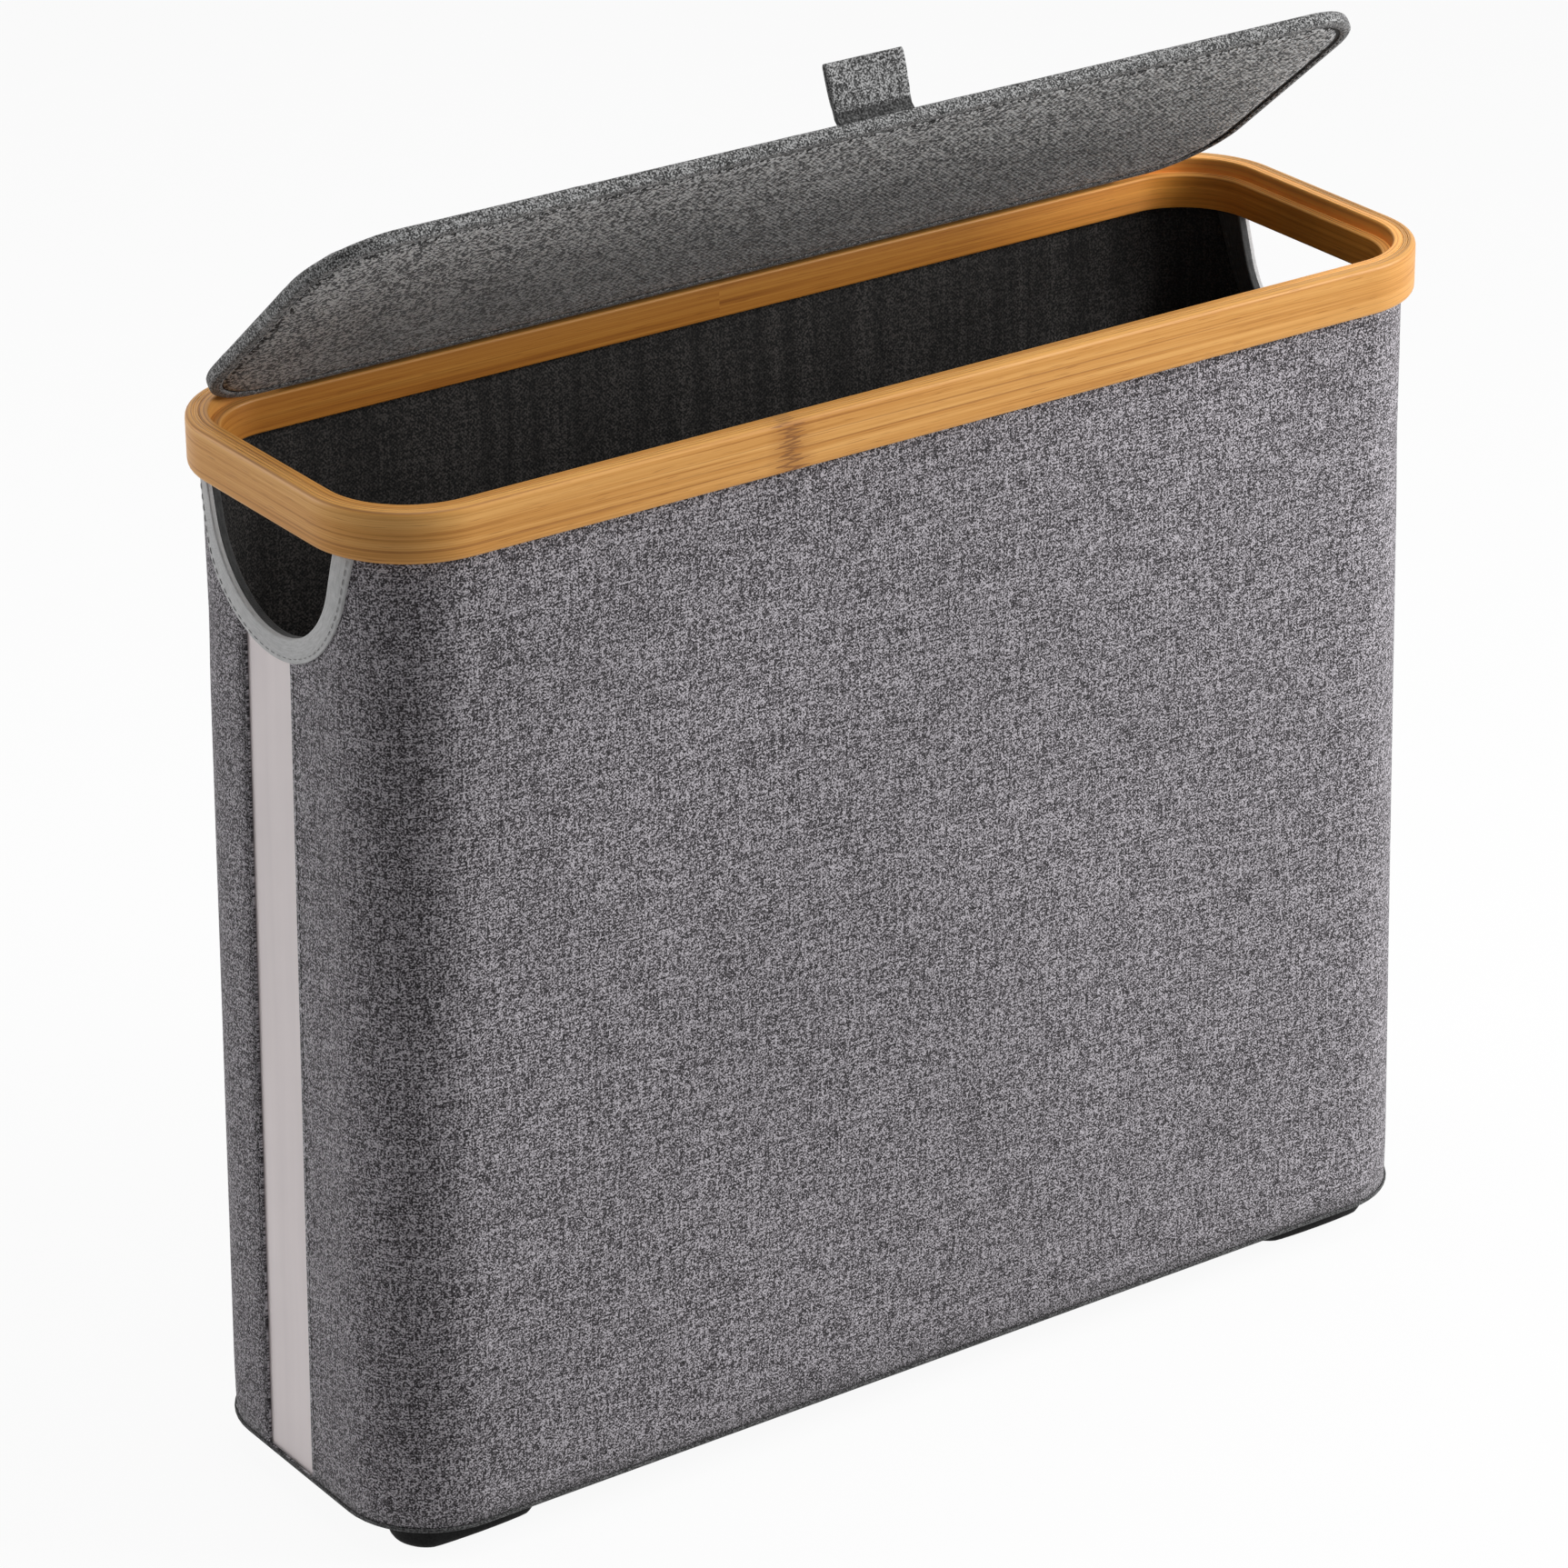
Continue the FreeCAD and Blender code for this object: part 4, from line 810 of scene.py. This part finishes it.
def make_window(side, end):
    across = np.linspace(WINDOW_FRONT - WINDOW_SEAM, WINDOW_BACK + WINDOW_SEAM, 12)
    up = np.concatenate([(WINDOW_TAIL, 14.6, WINDOW_LOW - 0.06), np.linspace(WINDOW_LOW, WINDOW_HIGH, 50)])
    grid = np.array([(y, z) for z in up for y in across])
    opening = handle_outline(0.05, WINDOW_HIGH + 30)
    flat, faces = cut_out(grid, [opening], 1.2)
    if side < 0:
        faces = faces[:, ::-1]

    def bow(p):
        t = (p[:, 0] - across[0]) / (across[-1] - across[0])
        held = smooth_step(t, 0.10, 0.35) * smooth_step(1 - t, 0.10, 0.35) * smooth_step(p[:, 1], 17, 24)
        return held * (0.18 + 0.16 * np.sin(p[:, 1] / 23.0) + 0.10 * np.sin(p[:, 1] / 9.0 + 1.0))

    piece = cloth(f"{end}_window_strip", flat, faces,
                  lambda p: end_point(side, p[:, 0], p[:, 1], 0.84 + bow(p)),
                  lambda p: end_point(side, p[:, 0], p[:, 1],
                                      np.where(p[:, 1] < WINDOW_LOW, 0.97, 1.74 + bow(p))))
    dress(piece, CLEAR, "basket", "clear_strip", f"{end}_window")
    for edge, y in (("front", WINDOW_FRONT - 1.8), ("back", WINDOW_BACK + 1.8)):
        z = np.linspace(16.5, 300.0, 80)
        path = end_point(side, np.full(80, y), z, np.full(80, -0.07))
        sew(f"{end}_window_{edge}_stitches", path, (side, 0.0, 0.0), DARK_THREAD, "basket", "grey_cloth", 0.16)


# Base: cloth under the base board and rolled piping round the bottom edge

def make_base():
    columns = loop_columns(14.0, 9.0, 12)
    border = np.stack(around(columns, WALL_R - 1.0, LOW_A, LOW_B), -1)
    flat, faces = cut_out(fill(border, *BASE_GRID, 5))

    def tuck(p):
        return 0.25 * (1 - smooth_step(distance_to(p, border), 0, 2.5))

    under = cloth("base_under_cloth", flat, faces,
                  lambda p: np.column_stack([p, UNDER_TOP - 0.5 * tuck(p)]),
                  lambda p: np.column_stack([p, UNDER_LOW + tuck(p)]))
    dress(under, UNDER_GREY, "basket", "grey_cloth", "base_cover")

    turn = np.arange(10) * 2 * math.pi / 10
    rows = []
    for s in columns:
        x, y = around(np.full(10, s), WALL_R + PIPING_OUT + PIPING_HALF * np.cos(turn), LOW_A, LOW_B)
        rows.append(np.stack([x, y, PIPING_Z + PIPING_RISE * np.sin(turn)], -1))
    piping = sweep("bottom_piping_roll", rows, columns, LOOP_LENGTH)
    dress(piping, PIPING_DARK, "basket", "dark_piping", "bottom_piping")


def make_foot(corner, side_x, side_y):
    """A moulded foot with full round ends and a soft bottom edge, hollowed for its screw."""
    turns = np.arange(64) * 2 * math.pi / 64
    half = (FOOT_LENGTH - FOOT_WIDTH) / 2
    # Radius and height down the screw's hole and recess, then inset and height round the outside
    ring = [(2.32, 12.0), (2.32, 4.22), (4.58, 4.22), (4.58, 0.35), (4.9, 0.0)]
    edge = [(3.2, 0.0), (2.2, 0.25), (1.0, 1.1), (0.3, 2.2), (0.05, 3.4), (0.05, 11.6), (0.4, 12.0)]
    rows = []
    for a in turns:
        c, s = math.cos(a), math.sin(a)
        shift = half * np.clip(3.0 * c, -1, 1)
        row = [(r * c, r * s, z) for r, z in ring]
        row += [(shift + (FOOT_WIDTH / 2 - d) * c, (FOOT_WIDTH / 2 - d) * s, z) for d, z in edge]
        rows.append(np.array(row) + (side_x * FOOT_X, side_y * FOOT_Y, 0.0))
    foot = sweep(f"{corner}_foot_moulding", rows, turns * FOOT_WIDTH / 2, math.pi * FOOT_WIDTH)
    dress(foot, BLACK, "basket", "black_feet", f"{corner}_foot")


# Lid

def lid_rest(x, y, z):
    """A point of the shut lid, from its hinge, where it lies with the lid at rest."""
    c, s = math.cos(LID_OPEN), math.sin(LID_OPEN)
    return np.stack([x, HINGE_Y + y * c + z * s, RIM_TOP - y * s + z * c], -1)


def lid_border(inset, columns):
    """The shut lid's edge, moved in, from its hinge."""
    x, y = around(columns, LID_R - inset)
    return np.stack([x, y - LID_HALF_Y], -1)


def pucker(p, border, reach, amount, seed):
    """Small gathers square to a seam, stronger at the corners."""
    edge = distance_to(p, border)
    centre = p + (0, LID_HALF_Y)
    out_x, out_y = np.abs(centre[:, 0]), np.abs(centre[:, 1])
    past_x, past_y = np.maximum(out_x - HALF_A, 0), np.maximum(out_y - HALF_B, 0)
    corner = np.hypot(past_x, past_y)
    turn = np.arctan2(past_y, np.maximum(past_x, 1e-6))
    along = np.where(corner > 1, turn * LID_R, 0) + np.minimum(out_x, HALF_A) * 0.8 + np.minimum(out_y, HALF_B) * 0.8
    wave = np.sin(along / 2.1 + seed) * 0.6 + np.sin(along / 3.7 + 2 * seed) * 0.5
    return amount * np.exp(-edge / reach) * wave * (0.25 + 0.75 * smooth_step(corner, 3, 20))


def make_lid():
    columns = loop_columns(9.0, 7.0, 16)
    top_inset = 1.5
    border = lid_border(top_inset, columns)
    flat, faces = cut_out(fill(border, *LID_GRID, 3.0))

    def crown(p):
        across = (p[:, 1] + LID_HALF_Y) / LID_HALF_Y
        length = p[:, 0] / LID_HALF_X
        rise = (0.5 + 2.5 * (1 - length ** 2)) * (1 - across ** 2)
        edge = distance_to(p, border)
        soft = 1 - np.exp(-edge / 9.0)
        return (-0.08 + rise * (0.55 + 0.45 * soft) + 0.9 * soft * np.exp(-edge / 30.0)
                + pucker(p, border, 7.0, 0.22, 1.3))

    top = lid_rest(flat[:, 0], flat[:, 1], crown(flat))
    # Rolled edge, side, hem under the lid, and the inside that lies on the lid's board
    profile = [(0.55, -0.22), (0.12, -0.75), (0.0, -1.4), (0.0, -3.5), (0.15, -4.2), (0.7, -4.62), (1.3, -4.7),
               (3.4, -4.7), (3.85, -4.62), (4.0, -4.4), (4.0, -4.14), (0.85, -4.12), (0.85, -1.68)]
    ring_index = [int(np.argmin(np.abs(flat - b).sum(1))) for b in border]
    points = [tuple(p) for p in top]
    all_faces = [tuple(f) for f in faces]
    uv = [flat[i] for f in faces for i in f]
    previous, last_inset, last_height, run = ring_index, top_inset, 0.0, 0.0
    m = len(columns)
    for inset, height in profile:
        first = len(points)
        edge = lid_border(inset, columns)
        points += [tuple(p) for p in lid_rest(edge[:, 0], edge[:, 1], np.full(m, height))]
        here = list(range(first, first + m))
        step = math.hypot(inset - last_inset, height - last_height)
        for i in range(m):
            j = (i + 1) % m
            all_faces.append((previous[j], previous[i], here[i], here[j]))
            s0, s1 = columns[i], columns[j] if j else LOOP_LENGTH
            uv += [(s1, run), (s0, run), (s0, run + step), (s1, run + step)]
        previous, last_inset, last_height, run = here, inset, height, run + step
    all_faces.append(previous)
    uv += [lid_border(0.85, columns)[i] for i in range(m)]
    cushion = new_piece("lid_cushion", np.array(points), all_faces, uv)
    dress(cushion, LID_SHELL, "lid", "grey_cloth", "lid_cover", "lid_padding")
    return columns


def make_underside(columns):
    border = lid_border(4.45, columns)
    points = fill(border, *LID_GRID, 2.0)
    extra = lid_border(6.2, columns)
    for line in (border, points, extra):
        line[:, 0] -= 1.25 * smooth_step(line[:, 0], 172, 194)
    flat, faces = cut_out(np.concatenate([points, extra]))
    faces = faces[:, ::-1]

    def sag(p):
        edge = distance_to(p, border)
        soft = smooth_step(edge, 0, 2.4)
        return -4.2 - 0.62 * soft - 0.35 * smooth_step(edge, 2, 45) + soft * pucker(p, border, 8.0, 0.30, 0.4)

    panel = cloth("lid_under_cloth", flat, faces,
                  lambda p: lid_rest(p[:, 0], p[:, 1], sag(p)),
                  lambda p: lid_rest(p[:, 0], p[:, 1], np.minimum(sag(p) + 0.6, -4.13)))
    dress(panel, LID_GREY, "lid", "grey_cloth", "lid_underside_panel")
    s = np.linspace(0, LOOP_LENGTH, 900)
    edge = lid_border(2.9, s)
    path = lid_rest(edge[:, 0], edge[:, 1], np.full(len(edge), -LID_EDGE - 0.01))
    down = (0.0, -math.sin(LID_OPEN), -math.cos(LID_OPEN))
    sew("lid_hem_stitches", path, down, DARK_THREAD, "lid", "grey_cloth", 0.15)


def make_hinge():
    """A cloth strip: up the rim's inner ply, over the hinge line and onto the lid's top."""
    c, s = math.cos(LID_OPEN), math.sin(LID_OPEN)
    line = [(60.72, 360.2), (60.72, 361.5), (60.72, 363.0), (60.70, 364.2)]
    axis = np.array((HINGE_Y, RIM_TOP))
    up_face = np.array((s, c))
    for angle in np.linspace(0.35, 1.0, 5):
        turn = (1 - angle) * math.radians(-10) + angle * math.atan2(c, s)
        line.append(tuple(axis + 0.72 * np.array((math.cos(turn), math.sin(turn)))))
    for run in (1.0, 3.0, 5.5, 8.0, 10.0):
        lift = 0.42 + 0.15 * run ** 0.8
        line.append(tuple(axis + run * np.array((-c, s)) + lift * up_face))
    line = np.array(line)
    side = HINGE_THICK / 2 * left_of(line)
    section = np.concatenate([line - side, (line + side)[::-1]])
    x = np.linspace(-HINGE_HALF, HINGE_HALF, 60)
    rows = [np.column_stack([np.full(len(section), i), section]) for i in x]
    strip = sweep("lid_hinge_cloth", rows, x)
    dress(strip, LID_SHELL, None, "grey_cloth", "lid_hinge_strip")
    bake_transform(strip)


def make_tab():
    """A strip folded into a loop: flattened and sewn at its root, slightly open and curled above."""
    lean = np.array((0.0, math.sin(TAB_LEAN), math.cos(TAB_LEAN)))
    front = np.array((0.0, -math.cos(TAB_LEAN), math.sin(TAB_LEAN)))
    climb = np.concatenate([np.linspace(0.1, 3.2, 7), np.linspace(3.9, TAB_TURN, 12)])
    open_by = 0.20 + 0.42 * smooth_step(climb, 3.0, 5.5) + 0.16 * np.sin(np.clip((climb - 4) / 13, 0, 1) * math.pi)
    turn = np.linspace(0, math.pi, 9)[1:-1]
    reach = open_by[-1]
    line = list(zip(climb, open_by))
    line += [(TAB_TURN + 1.15 * math.sin(a), reach * math.cos(a)) for a in turn]
    line += zip(climb[::-1], -open_by[::-1])
    line = np.array(line)
    side = left_of(line)
    outside, inner = line + 0.42 * side, line - 0.40 * side
    # The two legs stay apart
    rising = np.arange(len(line)) < len(line) / 2
    inner[:, 1] = np.where(rising, np.maximum(inner[:, 1], 0.01), np.minimum(inner[:, 1], -0.01))
    section = np.concatenate([outside, inner[::-1]])
    across = np.linspace(-TAB_HALF, TAB_HALF, 25)
    rows = []
    for x in across:
        share = x / TAB_HALF
        curl = 0.9 * smooth_step(section[:, 0], 4, 18) * (share ** 2 * 0.8 - 0.2 + 0.25 * share)
        base = np.array(TAB_ROOT) + np.outer(section[:, 0], lean) + np.outer(section[:, 1] + curl, front)
        base[:, 0] = x * (1 + 0.012 * section[:, 0] / 18)
        rows.append(base)
    tab = sweep("pull_tab_loop", rows, across)
    dress(tab, TAB_GREY, "tab", "grey_cloth", "pull_tab")
    x = np.linspace(-13.6, 13.6, 60)
    for name, way in (("front", 1), ("back", -1)):
        path = np.array(TAB_ROOT) + np.outer(np.full(60, 2.7), lean) + np.outer(np.full(60, way * 0.64), front)
        path[:, 0] = x
        sew(f"pull_tab_{name}_stitches", path, way * front, DARK_THREAD, "tab", "grey_cloth", 0.16, 2.9, 2.0)


def make_tab_root():
    """The bar of sewing that holds the tab: a thick ridge from the lid's free edge into the tab, near black to paint
    the shadow at the tab's root.
    """
    lean = np.array((math.sin(TAB_LEAN), math.cos(TAB_LEAN)))
    foot = lid_rest(np.zeros(1), np.full(1, -119.0), np.full(1, -0.5))[0][1:]
    bend = np.array(TAB_ROOT[1:])
    line = [foot + t * (bend - foot) for t in np.linspace(0, 1, 6)]
    line = np.array(line + [bend + k * lean for k in (0.4, 0.8, 1.2, 1.6)])
    side = left_of(line)
    x = np.linspace(-14.4, 14.4, 97)
    rows = []
    for i in x:
        thick = 0.72 + 0.08 * math.sin(2 * math.pi * i / 1.2)
        section = np.concatenate([line + thick * side, (line - thick * side)[::-1]])
        rows.append(np.column_stack([np.full(len(section), i), section]))
    root = sweep("pull_tab_bar_tack", rows, x)
    dress(root, TAB_ROOT_SHADOW_CLOTH, None, "grey_cloth")
    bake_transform(root)


def dress_cad():
    """Materials for the rigid nodes that stay as they are."""
    kept = {STEEL: ["foot_screws"],
            BOARD: ["front_board", "back_board", "front_left_corner_board", "back_left_corner_board",
                    "front_right_corner_board", "back_right_corner_board", "base_board_plate"],
            LID_BOARD: ["lid_core_board"]}
    for material, names in kept.items():
        for name in names:
            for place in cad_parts[name].material_slots:
                place.material = material


# Floor, light and camera

def make_stage():
    half, level = 6.0, -0.0002
    mesh = bpy.data.meshes.new("floor")
    corners = ((-half, -half), (half, -half), (half, half), (-half, half))
    mesh.from_pydata([(x, y, level) for x, y in corners], [], [(0, 1, 2, 3)])
    floor = bpy.data.objects.new("floor", mesh)
    bpy.context.collection.objects.link(floor)
    n = Nodes("pale_floor")
    tone = n.spread(n.noise(n.vector(*n.position()), 30.0), 0.80, 0.84)
    n.finish(n.grey(tone), 0.9, Specular_IOR_Level=0.1)
    glow = n.put("ShaderNodeEmission", {"Color": (1, 1, 1, 1), "Strength": 1.0})
    blend = n.put("ShaderNodeMixShader", {0: n.times(n.seen(), 0.93), 1: n.shader.outputs[0], 2: glow.outputs[0]})
    out = next(node for node in n.tree.nodes if node.type == "OUTPUT_MATERIAL")
    n.tree.links.new(blend.outputs[0], out.inputs[0])
    mesh.materials.append(n.owner)

    n = Nodes("studio", "worlds", "Background")
    bpy.context.scene.world = n.owner
    n.feed(n.shader.inputs["Strength"], n.fit(n.seen(), 0.0, 1.0, 0.13, 1.0))
    n.feed(n.shader.inputs["Color"], (1, 1, 1, 1))


def make_lamp(name, place, target, size, power):
    lamp = bpy.data.lights.new(name, "AREA")
    lamp.shape = "SQUARE"
    lamp.size = size
    lamp.energy = power
    thing = bpy.data.objects.new(name, lamp)
    bpy.context.collection.objects.link(thing)
    thing.location = place
    thing.rotation_euler = (Vector(target) - Vector(place)).to_track_quat("-Z", "Y").to_euler()


def make_camera():
    azimuth, elevation, roll = (math.radians(a) for a in (-34.6078, 24.6075, -0.6782))
    distance, focal_pixels, frame_pixels, sensor = 2061.371, 6879.771, 1725.0, 36.0
    target = Vector((-16.205, 0.0, 205.437))
    back = Vector((math.sin(azimuth) * math.cos(elevation), -math.cos(azimuth) * math.cos(elevation),
                   math.sin(elevation)))
    right = (-back).cross(Vector((0, 0, 1))).normalized()
    up = right.cross(-back)
    across = right * math.cos(roll) + up * math.sin(roll)
    upward = up * math.cos(roll) - right * math.sin(roll)
    data = bpy.data.cameras.new("camera")
    data.sensor_width = sensor
    data.lens = focal_pixels / frame_pixels * sensor
    data.clip_end = 50
    camera = bpy.data.objects.new("camera", data)
    bpy.context.collection.objects.link(camera)
    turn = Matrix((across, upward, back)).transposed().to_4x4()
    camera.matrix_world = Matrix.Translation((target + back * distance) * MM) @ turn
    bpy.context.scene.camera = camera


make_rim()
make_wall()
for which, end_name in ((-1, "left"), (1, "right")):
    make_binding(which, end_name)
    make_window(which, end_name)
make_base()
for corner_name, side_x, side_y in (("front_left", -1, -1), ("back_left", -1, 1),
                                    ("front_right", 1, -1), ("back_right", 1, 1)):
    make_foot(corner_name, side_x, side_y)
lid_columns = make_lid()
make_underside(lid_columns)
make_hinge()
make_tab()
make_tab_root()
dress_cad()
make_stage()
make_lamp("key_right", (1.2, -0.85, 0.9), (0.0, 0.0, 0.2), 0.8, 29)
make_lamp("fill_left", (-1.1, 1.0, 0.7), (0.0, 0.0, 0.2), 0.8, 9.2)
make_lamp("top_soft", (0.0, -0.1, 1.8), (0.0, 0.0, 0.3), 1.0, 10)
make_camera()
bpy.context.scene.view_settings.view_transform = "Standard"
